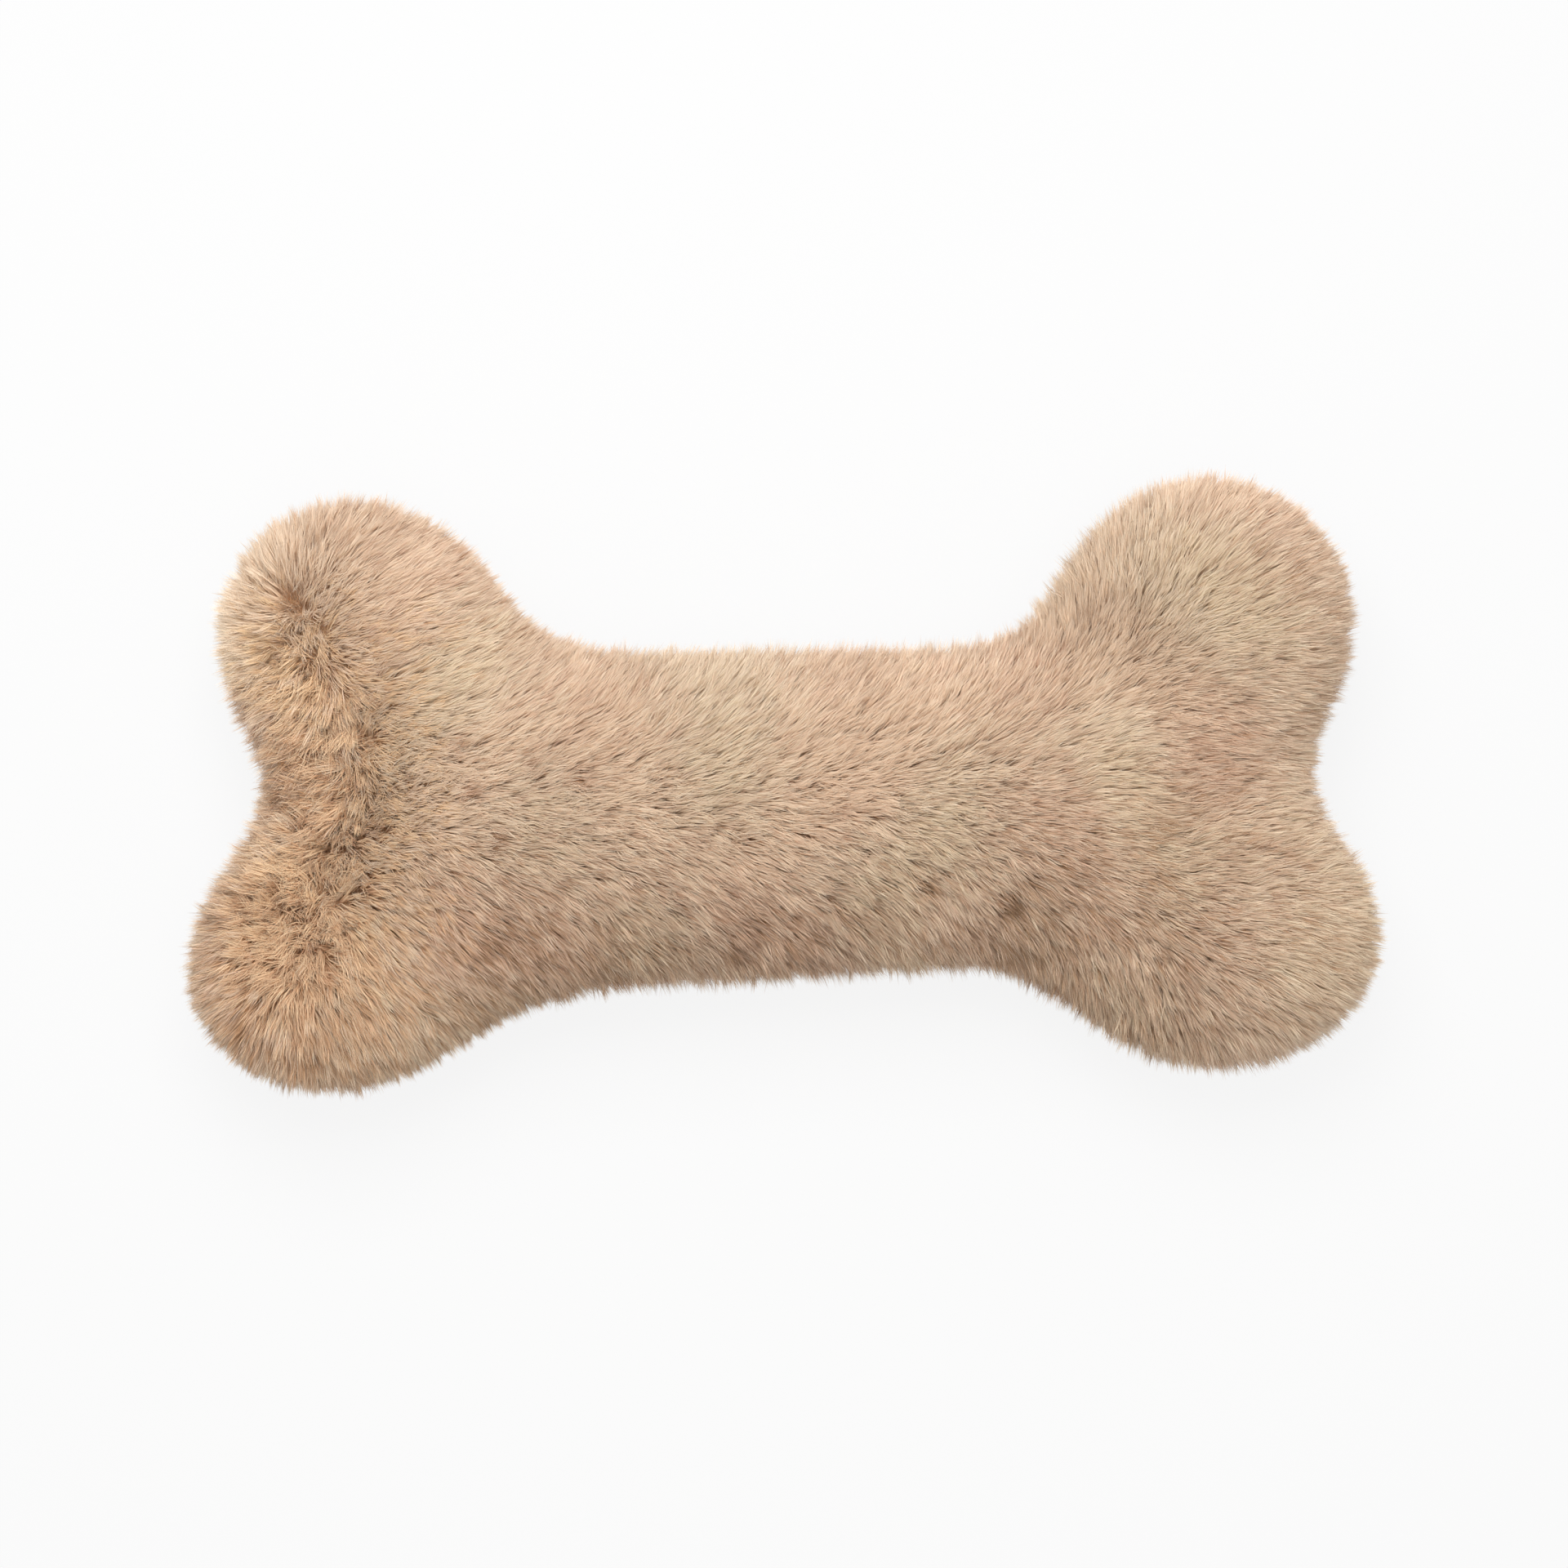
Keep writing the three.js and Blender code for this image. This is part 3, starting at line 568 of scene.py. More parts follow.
def fibre_finish(colours):
    """Carded filling fibre: fine hairs that cross each other."""
    finish = Finish("filling_fibre")
    place = finish.place()
    lengthwise = finish.stretched(place, scale=(90, 700, 700))
    crosswise = finish.stretched(place, scale=(650, 120, 500))
    lying = finish.clouds(lengthwise, scale=1, detail=3.0, roughness=0.6)
    crossed = finish.clouds(crosswise, scale=1, detail=3.0, roughness=0.6)
    hairs = lying * 0.5 + crossed * 0.5
    colour = finish.ramp(hairs, [(0.35, times(colours.fibre, 0.8)), (0.65, colours.fibre)])
    return finish.surface(
        Base_Color=colour, Roughness=0.85, Normal=finish.bump(hairs, depth=0.0012), Sheen_Weight=0.3
    )


def air_cell_finish(colours):
    """Soft blown plastic, slightly cloudy and dusty."""
    finish = Finish("soft_air_cell")
    place = finish.place()
    cloud = finish.clouds(place, scale=110, detail=3.0)
    grain = finish.clouds(place, scale=1800)
    colour = finish.ramp(cloud, [(0.3, times(colours.air_cell, 0.88)), (0.7, colours.air_cell)])
    return finish.surface(
        Base_Color=colour,
        Roughness=0.38 + 0.2 * cloud,
        Normal=finish.bump(grain, depth=0.00006),
        Subsurface_Weight=0.15,
        Subsurface_Scale=0.002,
    )


def whistle_finish(colours):
    """Hard moulded plastic with faint flow marks."""
    finish = Finish("hard_whistle")
    place = finish.place()
    flow = finish.clouds(finish.stretched(place, scale=(300, 300, 60)), scale=1, detail=3.0)
    colour = finish.ramp(flow, [(0.3, times(colours.whistle, 0.9)), (0.7, colours.whistle)])
    return finish.surface(
        Base_Color=colour, Roughness=0.22 + 0.14 * flow, Normal=finish.bump(flow, depth=0.00004)
    )


# Working with meshes


def finished(name, bm, *materials):
    """Makes a bmesh a smooth piece of the scene, at the origin, with its materials."""
    mesh = bpy.data.meshes.new(name)
    bm.to_mesh(mesh)
    bm.free()
    for material in materials:
        mesh.materials.append(material)
    mesh.shade_smooth()
    piece = bpy.data.objects.new(name, mesh)
    bpy.context.scene.collection.objects.link(piece)
    return piece


def with_modifier(piece, kind, **settings):
    """Applies one modifier to a piece's mesh."""
    modifier = piece.modifiers.new(kind.lower(), kind)
    for name, value in settings.items():
        setattr(modifier, name, value)
    graph = bpy.context.evaluated_depsgraph_get()
    made = bpy.data.meshes.new_from_object(piece.evaluated_get(graph))
    piece.modifiers.clear()
    old = piece.data
    piece.data = made
    bpy.data.meshes.remove(old)
    return piece


def copied_node(node):
    """A bmesh of a CAD node with its loose triangles joined."""
    bm = bmesh.new()
    bm.from_mesh(frame["nodes"][node].data)
    bmesh.ops.remove_doubles(bm, verts=bm.verts, dist=WELD)
    return bm


def pressed_with_squeaker(piece, keep=None):
    """Gives the piece a mesh of its own."""
    travel = PRESS["range_m"][1]
    if keep is None:
        keep = 1 - travel / (CAD_BOX[1].z - CAD_BOX[0].z)
    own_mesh(piece)


def outer_face(node):
    """The showing side of a panel: every face reached from its crown without crossing the seam's edge."""
    bm = copied_node(node)
    heights = [corner.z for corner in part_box(node)]
    seam_face = min(heights, key=lambda height: abs(height - SEAM_HEIGHT))
    crown = max(bm.faces, key=lambda face: abs(face.calc_center_median().z - SEAM_HEIGHT))
    found = {crown}
    waiting = [crown]
    while waiting:
        for edge in waiting.pop().edges:
            if all(abs(vert.co.z - seam_face) < WELD for vert in edge.verts):
                continue
            for face in edge.link_faces:
                if face not in found:
                    found.add(face)
                    waiting.append(face)
    hidden = [face for face in bm.faces if face not in found]
    bmesh.ops.delete(bm, geom=hidden, context="FACES")
    return bm


def cover_form(sizes):
    """The stuffed bone as one closed surface, at the height of the backing's outer face."""
    bm = outer_face("front_panel")
    back = outer_face("back_panel")
    spare = bpy.data.meshes.new("back_face")
    back.to_mesh(spare)
    back.free()
    bm.from_mesh(spare)
    bpy.data.meshes.remove(spare)
    for vert in bm.verts:
        if abs(vert.co.z - SEAM_HEIGHT) < SEAM_WELD:
            vert.co.z = SEAM_HEIGHT
    bmesh.ops.remove_doubles(bm, verts=bm.verts, dist=WELD)
    if any(edge.is_boundary for edge in bm.edges):
        raise RuntimeError("the two panels' outer faces don't meet all round at the seam")
    bmesh.ops.join_triangles(
        bm,
        faces=bm.faces,
        angle_face_threshold=FLAT_ENOUGH,
        angle_shape_threshold=SQUARE_ENOUGH,
    )
    bm.normal_update()
    for vert, way in [(vert, vert.normal.copy()) for vert in bm.verts]:
        vert.co -= way * sizes.pile_depth
    return bm


def smooth_form(sizes):
    """The cover's form with its facets halved and rounded."""
    piece = finished("cover_form", cover_form(sizes))
    if sizes.smoothing:
        with_modifier(piece, "SUBSURF", levels=sizes.smoothing, render_levels=sizes.smoothing)
    return piece


# Backings


def make_backing(name, node, above, sizes, material):
    """One knitted backing: half of the form, its edge turned in at the seam, with the cloth's thickness."""
    whole = smooth_form(sizes)
    bm = bmesh.new()
    bm.from_mesh(whole.data)
    bpy.data.objects.remove(whole)
    gap = sizes.cloth * SEAM_GAP_SHARE
    height = SEAM_HEIGHT + (gap if above else -gap)
    bmesh.ops.bisect_plane(
        bm,
        geom=[*bm.verts, *bm.edges, *bm.faces],
        plane_co=(0, 0, height),
        plane_no=UPWARDS,
        clear_inner=above,
        clear_outer=not above,
    )
    rim = [edge for edge in bm.edges if edge.is_boundary]
    grown = bmesh.ops.extrude_edge_only(bm, edges=rim)["geom"]
    turned_in = [part for part in grown if isinstance(part, bmesh.types.BMVert)]
    bm.normal_update()
    for vert in turned_in:
        beside = [edge.other_vert(vert) for edge in vert.link_edges if not edge.is_boundary]
        outwards = Vector((beside[0].normal.x, beside[0].normal.y, 0)).normalized()
        vert.co -= outwards * sizes.allowance
    bmesh.ops.recalc_face_normals(bm, faces=bm.faces)
    crown = max(bm.faces, key=lambda face: abs(face.calc_center_median().z - SEAM_HEIGHT))
    if (crown.normal.z > 0) != above:
        bmesh.ops.reverse_faces(bm, faces=bm.faces)
    piece = finished(name, bm, material)
    with_modifier(piece, "SOLIDIFY", thickness=sizes.cloth, offset=-1)
    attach(piece, COVER_BODY)
    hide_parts(node)
    pressed_with_squeaker(piece)


# Pile


def unit(rows):
    """Rows of vectors, each made one long."""
    return rows / np.maximum(np.linalg.norm(rows, axis=-1, keepdims=True), TINY)


def eased(share):
    """A share that starts and ends gently."""
    held = np.clip(share, 0, 1)
    return held * held * (3 - 2 * held)


def column(values):
    """One number a row, ready to scale rows of vectors."""
    return np.asarray(values)[:, None]


def triples(items, name, kind):
    """One property of all the items of a mesh, as rows of three."""
    flat = np.empty(len(items) * 3, kind)
    items.foreach_get(name, flat)
    return flat.reshape(-1, 3)


class Ground:
    """The backing's outer face as arrays, to grow roots on."""

    def __init__(self, sizes):
        form = smooth_form(sizes)
        mesh = form.data
        mesh.calc_loop_triangles()
        self.corners = triples(mesh.loop_triangles, "vertices", np.int32)
        self.places = triples(mesh.vertices, "co", np.float32).astype(float)
        self.normals = triples(mesh.vertex_normals, "vector", np.float32).astype(float)
        bpy.data.objects.remove(form)
        first, second, third = (self.places[self.corners[:, k]] for k in range(3))
        self.areas = np.linalg.norm(np.cross(second - first, third - first), axis=1) / 2

    def area(self):
        """The whole face, in square metres."""
        return float(self.areas.sum())

    def roots(self, count, draws):
        """So many places spread evenly over the face, with the way out at each."""
        steps = (np.arange(count) + draws.random(count)) * self.area() / count
        chosen = np.minimum(np.searchsorted(np.cumsum(self.areas), steps), len(self.areas) - 1)
        spread = np.sqrt(draws.random(count))
        along = draws.random(count)
        shares = np.stack([1 - spread, spread * (1 - along), spread * along], axis=1)
        corners = self.corners[chosen]
        places = np.einsum("nk,nkd->nd", shares, self.places[corners])
        outwards = unit(np.einsum("nk,nkd->nd", shares, self.normals[corners]))
        return places, outwards


def fanned(x, y, lay):
    """The nap's angle right of the whorl: it spreads to both edges, most where the bone widens."""
    spread_up = np.interp(x, FAN_PLACES, FAN_UP)
    spread_down = np.interp(x, FAN_PLACES, FAN_DOWN)
    beyond = y - lay.fan_middle
    angle = np.radians(np.where(beyond > 0, spread_up, spread_down)) * beyond / MILLIMETRE
    return np.clip(angle, -lay.fan_most, lay.fan_most)


def off_parting(places):
    """How far each place lies from the parting, along and across the bone."""
    beside = np.clip(places[:, 1], PARTING_Y[0], PARTING_Y[-1])
    parting = np.stack([np.interp(beside, PARTING_Y, PARTING_X), beside], axis=1)
    return places[:, :2] - parting


def ruffled(places, lay):
    """How much the pile is ruffled at each place: along the parting, below its upper whorl."""
    below = eased((PARTING_Y[-1] - places[:, 1]) / lay.parting_reach + RUFFLE_HEAD)
    distance = np.linalg.norm(off_parting(places), axis=1)
    return below * np.exp(-((distance / lay.ruffle_width) ** 2))


def crossing(places, lay):
    """How much the locks at each place cross over the parting, whorls included."""
    distance = np.linalg.norm(off_parting(places), axis=1)
    return np.exp(-((distance / lay.crossing_width) ** 2))


def steepness(outwards):
    """How steep the face is at each place: nothing where it is level, one where it is upright."""
    return 1 - np.abs(outwards[:, 2])


def nap(places, outwards, lay):
    """The way that the pile is brushed at each place, along the surface, and how firmly it lies there."""
    angle = fanned(places[:, 0], places[:, 1], lay)
    rightward = np.stack([np.cos(angle), np.sin(angle)], axis=1)
    off = off_parting(places)
    parted = off / column(np.linalg.norm(off, axis=1) + lay.parting_width)
    between = eased((PARTING_Y[-1] - places[:, 1]) / lay.parting_reach)
    between *= eased((places[:, 1] - PARTING_Y[0]) / lay.parting_reach + PARTING_FOOT)
    parted[:, 1] -= lay.parting_fall * between
    side = eased(off[:, 0] / lay.parting_reach + NAP_HEAD)
    brushed = parted * column(1 - side) + rightward * column(side)
    way = np.concatenate([brushed, column(-lay.hang * steepness(outwards))], axis=1)
    along = way - outwards * column(np.einsum("nd,nd->n", way, outwards))
    return unit(along), np.clip(np.linalg.norm(along, axis=1) / lay.lay_reach, 0, 1)


def turned(along, outwards, angles):
    """Directions in the surface turned about the way out."""
    across = np.cross(outwards, along)
    return along * column(np.cos(angles)) + across * column(np.sin(angles))


def course(root, outwards, along, firmness, length, lean, lay, rings):
    """Where each strand passes: it leaves the cloth steeply and bends over towards the nap."""
    first = lay.lean_root * firmness
    parted = lay.lean_parted - lay.whorl_lift * crossing(root, lay)
    last = parted + (lay.lean_tip - parted) * firmness + lean
    bend = np.where(np.abs(last - first) < SMALLEST_BEND, SMALLEST_BEND, last - first)
    passed = []
    for share in rings:
        now = first + bend * share
        rise = (np.sin(now) - np.sin(first)) / bend
        run = (np.cos(first) - np.cos(now)) / bend
        passed.append(root + outwards * column(length * rise) + along * column(length * run))
    return np.stack(passed, axis=1)


def gathered(passed, spine, pull, rings):
    """Strands closing on the spine that they belong to, more and more towards their tips."""
    share = pull * np.asarray(rings) ** PULL_CURVE
    return passed + (spine - passed) * share[None, :, None]


def nearest(places, middles):
    """For each place, which of the middles is nearest."""
    tree = KDTree(len(middles))
    for index, middle in enumerate(middles):
        tree.insert(middle, index)
    tree.balance()
    return np.fromiter((tree.find(place)[1] for place in places), np.int32, len(places))


def slow_noise(places, size, shift):
    """Smooth noise over the bone, one number a place."""
    offset = Vector((shift, 0, 0))
    heights = (noise.noise(Vector(place) / size + offset) for place in places)
    return np.fromiter(heights, float, len(places))


def patched(root, patches):
    """The sum of soft round patches at each root; a patch is a place, its reach and its height."""
    return sum(
        height * np.exp(-(np.hypot(root[:, 0] - x, root[:, 1] - y) / reach) ** 2)
        for x, y, reach, height in patches
    )


class Pile:
    """Every strand's course, width direction and tone, worked out in one go."""

    def __init__(self, sizes, lay):
        self.lay = lay
        self.draws = np.random.default_rng(lay.seed)
        ground = Ground(sizes)
        tufts = int(ground.area() / lay.tuft_spacing**2)
        locks = int(ground.area() / lay.lock_spacing**2)
        tuft_root, tuft_out = ground.roots(tufts, self.draws)
        lock_root, lock_out = ground.roots(locks, self.draws)
        root, out = ground.roots(lay.strands, self.draws)
        self.tuft_of_lock = nearest(lock_root, tuft_root)
        self.lock = nearest(root, lock_root)

        eddy = slow_noise(tuft_root, lay.eddy_size, 0.0) * lay.eddy_turn / NOISE_REACH
        tuft_stray = lay.stray_tuft + lay.ruffle_stray * ruffled(tuft_root, lay)
        lock_stray = lay.stray_lock + lay.crossing_lock * crossing(lock_root, lay)
        tuft_turn = eddy + self.spread(tufts, tuft_stray + lay.crossing_tuft * crossing(tuft_root, lay))
        tuft_edge = steepness(tuft_out) ** 2
        tuft_lean = self.spread(tufts, tuft_stray * TUFT_LEAN_SHARE + lay.edge_stray * tuft_edge)
        lock_turn = tuft_turn[self.tuft_of_lock] + self.spread(locks, lock_stray)
        lock_edge = steepness(lock_out) ** 2
        lock_lean = tuft_lean[self.tuft_of_lock]
        lock_lean += self.spread(locks, lay.stray_lock * LOCK_LEAN_SHARE + lay.edge_stray * lock_edge)
        proud = self.draws.random(locks) < lay.proud_share + lay.proud_at_edge * lock_edge
        lock_lean -= lay.proud_lean * proud
        strand_stray = lay.stray_strand * (1 + crossing(root, lay))
        turn = lock_turn[self.lock] + self.spread(len(root), strand_stray)
        lean = lock_lean[self.lock] + self.spread(len(root), lay.stray_strand)

        tuft_course = self.laid(tuft_root, tuft_out, tuft_turn, tuft_lean)
        lock_course = self.laid(lock_root, lock_out, lock_turn, lock_lean)
        lock_course = gathered(lock_course, tuft_course[self.tuft_of_lock], lay.tuft_pull, STRAND_RINGS)
        passed = self.laid(root, out, turn, lean)
        passed = gathered(passed, lock_course[self.lock], lay.lock_pull, STRAND_RINGS)
        passed[:, :, 2] = np.maximum(passed[:, :, 2], lay.width)
        self.course = passed
        self.root = root
        self.across = self.width_way(out)
        self.tone = self.toned(root, tuft_root)

    def spread(self, count, size):
        """Random numbers round nothing, of one size or each of its own."""
        return self.draws.normal(0, 1, count) * size

    def laid(self, root, out, turn, lean):
        """Courses of strands, locks or tufts that start at the given roots."""
        along, firmness = nap(root, out, self.lay)
        along = turned(along, out, turn)
        unevenness = 1 + self.spread(len(root), self.lay.length_spread)
        standing = self.lay.parted_length + (1 - self.lay.parted_length) * firmness
        length = self.lay.length * standing * np.clip(unevenness, SHORTEST_SHARE, LONGEST_SHARE)
        return course(root, out, along, firmness, length, lean, self.lay, STRAND_RINGS)

    def width_way(self, out):
        """Across each strand, rolled a little so that strands catch the light differently."""
        whole = unit(self.course[:, -1] - self.course[:, 0])
        flat = unit(np.cross(whole, out))
        roll = self.draws.uniform(-self.lay.roll, self.lay.roll, len(out))
        return flat * column(np.cos(roll)) + np.cross(whole, flat) * column(np.sin(roll))

    def toned(self, root, tuft_root):
        """Each strand's place in the row of lots and beiges: patchy all over, tan down the left end, with
        painted light up the view, on the parting and on the shaft's crown, and painted shade in small
        hollows.
        """
        locks = len(self.tuft_of_lock)
        patch = slow_noise(tuft_root, TONE_CLOUD_SIZE, TONE_CLOUD_SHIFT) * TONE_CLOUD
        patch += self.spread(len(tuft_root), TUFT_TONE)
        lock_tone = patch[self.tuft_of_lock] + self.spread(locks, LOCK_TONE)
        lower_left = eased((LOWER_LEFT_X - root[:, 0]) / LOWER_LEFT_FADE_X)
        lower_left *= eased((LOWER_LEFT_Y - root[:, 1]) / LOWER_LEFT_FADE_Y)
        # Painted shade at the hollows: darker strands where the pile doesn't dip
        sunk = patched(root, [(x, y, HOLLOW_SHADE_RADIUS, HOLLOW_SHADE_TONE) for x, y in PAINTED_HOLLOW_SHADES])
        # Painted light: lighter up the view, towards the window lamp, and darker down it
        tone = TONE_MIDDLE + PAINTED_LIGHT_RISE * root[:, 1] + lock_tone[self.lock]
        tone += self.spread(len(root), STRAND_TONE)
        # The lower left knuckle a little darker, and painted light on the parting against the shade among
        # its parted strands
        tone -= LOWER_LEFT_TONE * lower_left - PARTING_PAINTED_LIGHT * crossing(root, self.lay)
        # On the front: broad patches of tone and painted light, less the hollows' painted shade
        tone += (patched(root, TONE_AND_LIGHT_PATCHES) - sunk) * (root[:, 2] > SEAM_HEIGHT)

        drift = slow_noise(tuft_root, LOT_CLOUD_SIZE, LOT_CLOUD_SHIFT) * LOT_CLOUD
        lot = LOT_MIDDLE - LOT_FALL * root[:, 1] + drift[self.tuft_of_lock][self.lock]
        lot += self.spread(len(root), LOT_SPREAD)
        lot = np.clip(np.rint(lot), 0, TAN_LOT - 1)
        crown = eased((root[:, 2] - SEAM_HEIGHT) / TAN_HEIGHT)
        tan_share = (TAN_LOWER_LEFT * lower_left + TAN_RUFFLED * ruffled(root, self.lay)) * crown
        lot[self.draws.random(locks)[self.lock] < tan_share] = TAN_LOT
        return (lot + np.clip(tone, DARKEST, LIGHTEST)) / len(DYE_LOTS)


def strand_template():
    """One strand as a strip one wide and one long, whose end is a point."""
    bm = bmesh.new()
    edge = bm.edges.new([bm.verts.new((-0.5, 0, 0)), bm.verts.new((0.5, 0, 0))])
    for low, high in zip(STRAND_RINGS, STRAND_RINGS[1:]):
        grown = bmesh.ops.extrude_edge_only(bm, edges=[edge])["geom"]
        ends = [part for part in grown if isinstance(part, bmesh.types.BMVert)]
        edge = next(part for part in grown if isinstance(part, bmesh.types.BMEdge))
        bmesh.ops.translate(bm, verts=ends, vec=(0, 0, high - low))
    bmesh.ops.pointmerge(bm, verts=list(edge.verts), merge_co=(0, 0, STRAND_RINGS[-1]))
    return bm


def strip_of_strands(name, count, material):
    """So many strands, all in one place as yet, with each one's corners in the same order."""
    piece = finished(name, strand_template(), material)
    return with_modifier(
        piece,
        "ARRAY",
        fit_type="FIXED_COUNT",
        count=count,
        use_relative_offset=False,
        use_constant_offset=True,
        constant_offset_displace=(0, 0, 0),
    )


def make_patch(name, pile, chosen, material):
    """The strands of one region of the cover as one piece."""
    template = finished("strand", strand_template())
    shape = np.array([vert.co for vert in template.data.vertices])
    facing = -1 if template.data.polygons[0].normal.y > 0 else 1
    bpy.data.objects.remove(template)
    ring = np.abs(column(shape[:, 2]) - np.array(STRAND_RINGS)).argmin(axis=1)
    side = shape[:, 0] * np.array(WIDTH_SHARES)[ring] * facing

    piece = strip_of_strands(name, len(chosen), material)
    mesh = piece.data
    centre = pile.course[chosen][:, ring]
    wide = pile.across[chosen][:, None, :] * (side * pile.lay.width)[None, :, None]
    mesh.vertices.foreach_set("co", (centre + wide).astype(np.float32).ravel())

    corner = np.empty(len(mesh.loops), np.int32)
    mesh.loops.foreach_get("vertex_index", corner)
    strand, point = np.divmod(corner, len(shape))
    across = pile.tone[chosen][strand] + shape[point, 0] * STRAND_SHADE
    up = MAP_MARGIN + (1 - 2 * MAP_MARGIN) * shape[point, 2]
    map_places = np.stack([across, up], axis=1).astype(np.float32)
    mesh.uv_layers.new(name=STRAND_MAP)
    mesh.uv_layers[STRAND_MAP].data.foreach_set("uv", map_places.ravel())
    mesh.update()

    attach(piece, COVER_BODY)
    pressed_with_squeaker(piece)
    return piece


def regions_of(root):
    """The name of the region that each root lies in, for the front and the back alike."""
    face = np.where(root[:, 2] > SEAM_HEIGHT, "front", "back")
    height = np.where(root[:, 1] > 0, "upper", "lower")
    end = np.where(root[:, 0] > 0, "right", "left")
    on_shaft = np.abs(root[:, 0]) < KNUCKLE_FROM_MIDDLE
    knuckle = np.char.add(np.char.add(height, "_"), end)
    place = np.where(on_shaft, np.char.add("shaft_", end), knuckle)
    return np.char.add(np.char.add(face, "_"), place)


def make_pile(sizes, lay, material):
    """All the pile, one piece for each region."""
    pile = Pile(sizes, lay)
    region = regions_of(pile.root)
    return [
        make_patch(f"pile_{name}", pile, np.flatnonzero(region == name), material)
        for name in sorted(set(region.tolist()))
    ]


# Threads, filling and squeaker


def make_thread(name, node, material):
    """A sewing thread, rounded from the path that the frame gives it."""
    piece = finished(name, copied_node(node), material)
    with_modifier(piece, "SUBSURF", levels=1, render_levels=1)
    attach(piece, COVER_BODY)
    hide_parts(node)
    pressed_with_squeaker(piece)


def make_wad(name, node, material):
    """A wad of filling: the space it is packed in, with a face that is sunk here and there as fibre is."""
    bm = copied_node(node)
    bmesh.ops.subdivide_edges(bm, edges=bm.edges, cuts=1, use_grid_fill=True)
    bm.normal_update()
    for vert, way in [(vert, vert.normal.copy()) for vert in bm.verts]:
        sink = 0.5 + 0.5 * noise.fractal(vert.co * WAD_CLUMPS, *WAD_DETAIL)
        vert.co -= way * (WAD_SINK_LEAST + WAD_SINK_MORE * min(max(sink, 0.0), 1.0))
    piece = finished(name, bm, material)
    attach(piece, COVER_BODY)
    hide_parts(node)
    pressed_with_squeaker(piece)


def make_bellows(material):
    """The air cell's folded wall, rounder than the frame's."""
    bm = copied_node("squeaker_bellows")
    piece = finished("air_cell_bellows", bm, material)
    with_modifier(piece, "SUBSURF", levels=1, render_levels=1)
    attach(piece, COVER_BODY)
    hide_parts("squeaker_bellows")
    height = SQUEAKER_HIGH.z - SQUEAKER_LOW.z
    pressed_with_squeaker(piece, 1 - PRESS["range_m"][1] / height)


def refinish(nodes, material):
    """Gives CAD nodes that stay in view a better material."""
    for node in nodes:
        slots = frame["nodes"][node].material_slots
        if not slots:
            raise RuntimeError(f"{node} has no material slot")
        for slot in slots:
            slot.material = material


# Stage


def make_floor(colours, setting):
    """A pale floor, which the camera sees near white and which keeps the toy's shadow."""
    finish = Finish("pale_floor")
    white = FLOOR_GLOW * finish.looked_at()
    cloth = finish.node("ShaderNodeBsdfDiffuse", sockets={"Color": (*colours.floor, 1)})
    glow = finish.node("ShaderNodeEmission", sockets={"Color": WHITE, "Strength": 1.0})
    surface = finish.node("ShaderNodeMixShader", sockets={0: white, 1: cloth, 2: glow})
    finish.node("ShaderNodeOutputMaterial", sockets={"Surface": surface})
    bm = bmesh.new()
    bmesh.ops.create_grid(bm, x_segments=1, y_segments=1, size=setting.floor_size / 2)
    floor = finished("floor", bm, finish.owner)


def make_surroundings(setting):
    """Pale surroundings: white to the eye, and a soft light of their own strength on the toy."""
    finish = Finish("pale_surroundings", kind="worlds")
    lit = finish.node("ShaderNodeBackground", sockets={"Color": WHITE, "Strength": setting.sky})
    white = finish.node("ShaderNodeBackground", sockets={"Color": WHITE, "Strength": 1.0})
    surface = finish.node("ShaderNodeMixShader", sockets={0: finish.looked_at(), 1: lit, 2: white})
    finish.node("ShaderNodeOutputWorld", sockets={"Surface": surface})
    bpy.context.scene.world = finish.owner


def make_lamp(name, place, aim, size, power):
    """A soft square lamp that points at a place."""
    data = bpy.data.lights.new(name, "AREA")
    data.shape = "SQUARE"
    data.size = size
    data.energy = power
    lamp = bpy.data.objects.new(name, data)
    lamp.location = place
    lamp.rotation_euler = (Vector(aim) - Vector(place)).to_track_quat("-Z", "Y").to_euler()
    bpy.context.scene.collection.objects.link(lamp)


def make_camera(setting):
    """The camera straight above the bone, rolled so that its right end is raised in the view."""
    data = bpy.data.cameras.new("camera")
    data.lens = setting.lens
    camera = bpy.data.objects.new("camera", data)
    camera.location = (setting.camera_x, setting.camera_y, setting.camera_height)
    camera.rotation_euler = (0, 0, -setting.camera_roll)
    bpy.context.scene.collection.objects.link(camera)
    bpy.context.scene.camera = camera


# Operators


class PLUSHBONE_OT_backings(bpy.types.Operator):
    """Make the two knitted backings with their turned-in edges"""

    bl_idname = "plush_bone.backings"
    bl_label = "Backings"

    def execute(self, context):
        """Makes both backings in place of the CAD panels."""
        material = backing_finish(context.scene.plush_bone_finishes)
        sizes = context.scene.plush_bone_cover
        make_backing("front_backing", "front_panel", True, sizes, material)
        make_backing("back_backing", "back_panel", False, sizes, material)
        return {"FINISHED"}


class PLUSHBONE_OT_pile(bpy.types.Operator):
    """Grow, gather and brush the pile"""

    bl_idname = "plush_bone.pile"
    bl_label = "Pile"

    def execute(self, context):
        """Makes the pile, one piece for each region of the cover."""
        scene = context.scene
        material = pile_finish(scene.plush_bone_finishes)
        if not make_pile(scene.plush_bone_cover, scene.plush_bone_pile, material):
            raise RuntimeError("no strand was grown")
        return {"FINISHED"}


class PLUSHBONE_OT_threads(bpy.types.Operator):
    """Sew the seam and close the stuffing gap"""

    bl_idname = "plush_bone.threads"
    bl_label = "Threads"

    def execute(self, context):
        """Makes both threads in place of the CAD ones."""
        material = thread_finish(context.scene.plush_bone_finishes)
        make_thread("machine_thread", "seam_thread", material)
        make_thread("hand_thread", "closing_stitch", material)
        return {"FINISHED"}


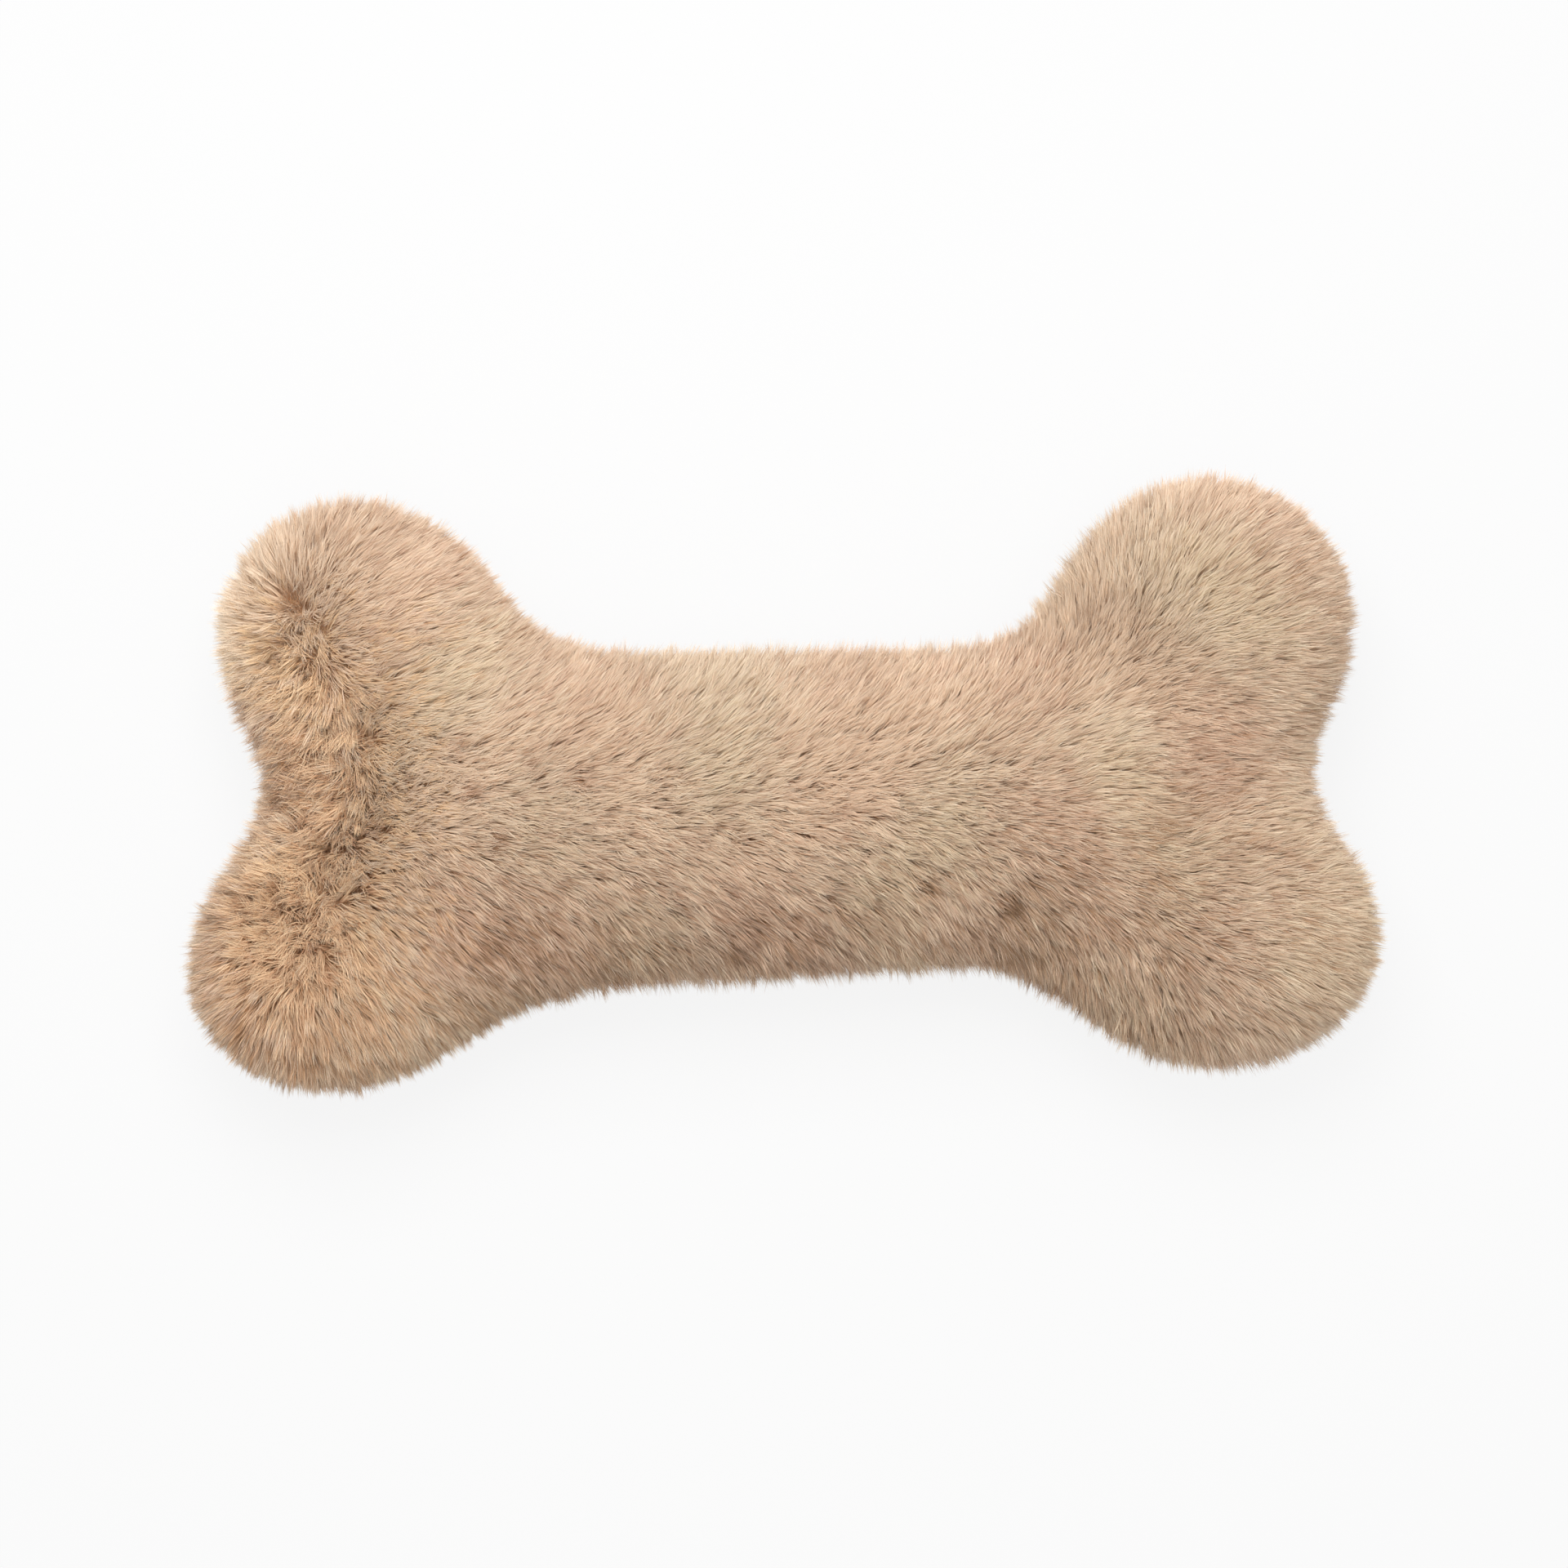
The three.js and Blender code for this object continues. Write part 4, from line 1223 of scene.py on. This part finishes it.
class PLUSHBONE_OT_filling(bpy.types.Operator):
    """Pack the knuckles and the shaft with fibre"""

    bl_idname = "plush_bone.filling"
    bl_label = "Filling"

    def execute(self, context):
        """Makes every wad of filling in place of its CAD solid."""
        material = fibre_finish(context.scene.plush_bone_finishes)
        for node in sorted(frame["nodes"]):
            if node.startswith("filling_"):
                make_wad(node.replace("filling_", "wad_"), node, material)
        return {"FINISHED"}


class PLUSHBONE_OT_squeaker(bpy.types.Operator):
    """Finish the squeaker's air cell and its whistle"""

    bl_idname = "plush_bone.squeaker"
    bl_label = "Squeaker"

    def execute(self, context):
        """Makes the folded wall and gives the other squeaker nodes their plastics."""
        colours = context.scene.plush_bone_finishes
        soft = air_cell_finish(colours)
        make_bellows(soft)
        refinish(["squeaker_base", "squeaker_top"], soft)
        hard = whistle_finish(colours)
        refinish(["whistle_housing", "reed_holder", "reed_wedge", "reed_tongue"], hard)
        return {"FINISHED"}


class PLUSHBONE_OT_stage(bpy.types.Operator):
    """Set up the floor, the lamps and the camera"""

    bl_idname = "plush_bone.stage"
    bl_label = "Stage"

    def execute(self, context):
        """Makes everything that isn't part of the toy."""
        setting = context.scene.plush_bone_stage
        make_floor(context.scene.plush_bone_finishes, setting)
        make_surroundings(setting)
        make_lamp("window", WINDOW_PLACE, FLOOR_POINT, WINDOW_SIZE, setting.key_power)
        make_lamp("overhead", OVERHEAD_PLACE, FLOOR_POINT, OVERHEAD_SIZE, setting.fill_power)
        make_camera(setting)
        context.scene.view_settings.view_transform = "Standard"
        return {"FINISHED"}


STEPS = (
    PLUSHBONE_OT_backings,
    PLUSHBONE_OT_pile,
    PLUSHBONE_OT_threads,
    PLUSHBONE_OT_filling,
    PLUSHBONE_OT_squeaker,
    PLUSHBONE_OT_stage,
)


class PLUSHBONE_PT_panel(bpy.types.Panel):
    """Lists the steps that make the toy"""

    bl_idname = "PLUSHBONE_PT_panel"
    bl_label = "Plush Bone"
    bl_space_type = "VIEW_3D"
    bl_region_type = "UI"
    bl_category = "Plush Bone"

    def draw(self, context):
        """Draws one button for each step, then the values."""
        for step in STEPS:
            self.layout.operator(step.bl_idname)
        for name in GROUPS:
            values = getattr(context.scene, name)
            box = self.layout.box()
            for value in values.bl_rna.properties:
                if value.identifier not in ("rna_type", "name"):
                    box.prop(values, value.identifier)


GROUPS = {
    "plush_bone_cover": CoverSizes,
    "plush_bone_pile": PileLay,
    "plush_bone_finishes": Finishes,
    "plush_bone_stage": StageSetting,
}
CLASSES = (*GROUPS.values(), *STEPS, PLUSHBONE_PT_panel)


def register():
    """Registers the classes and hangs the values on the scene."""
    for item in CLASSES:
        bpy.utils.register_class(item)
    for name, group in GROUPS.items():
        setattr(bpy.types.Scene, name, bpy.props.PointerProperty(type=group))


def unregister():
    """Takes everything back."""
    for name in GROUPS:
        delattr(bpy.types.Scene, name)
    for item in reversed(CLASSES):
        bpy.utils.unregister_class(item)


def main():
    """Builds the toy and its stage."""
    register()
    bpy.ops.plush_bone.backings()
    bpy.ops.plush_bone.pile()
    bpy.ops.plush_bone.threads()
    bpy.ops.plush_bone.filling()
    bpy.ops.plush_bone.squeaker()
    bpy.ops.plush_bone.stage()


if __name__ == "__main__":
    main()
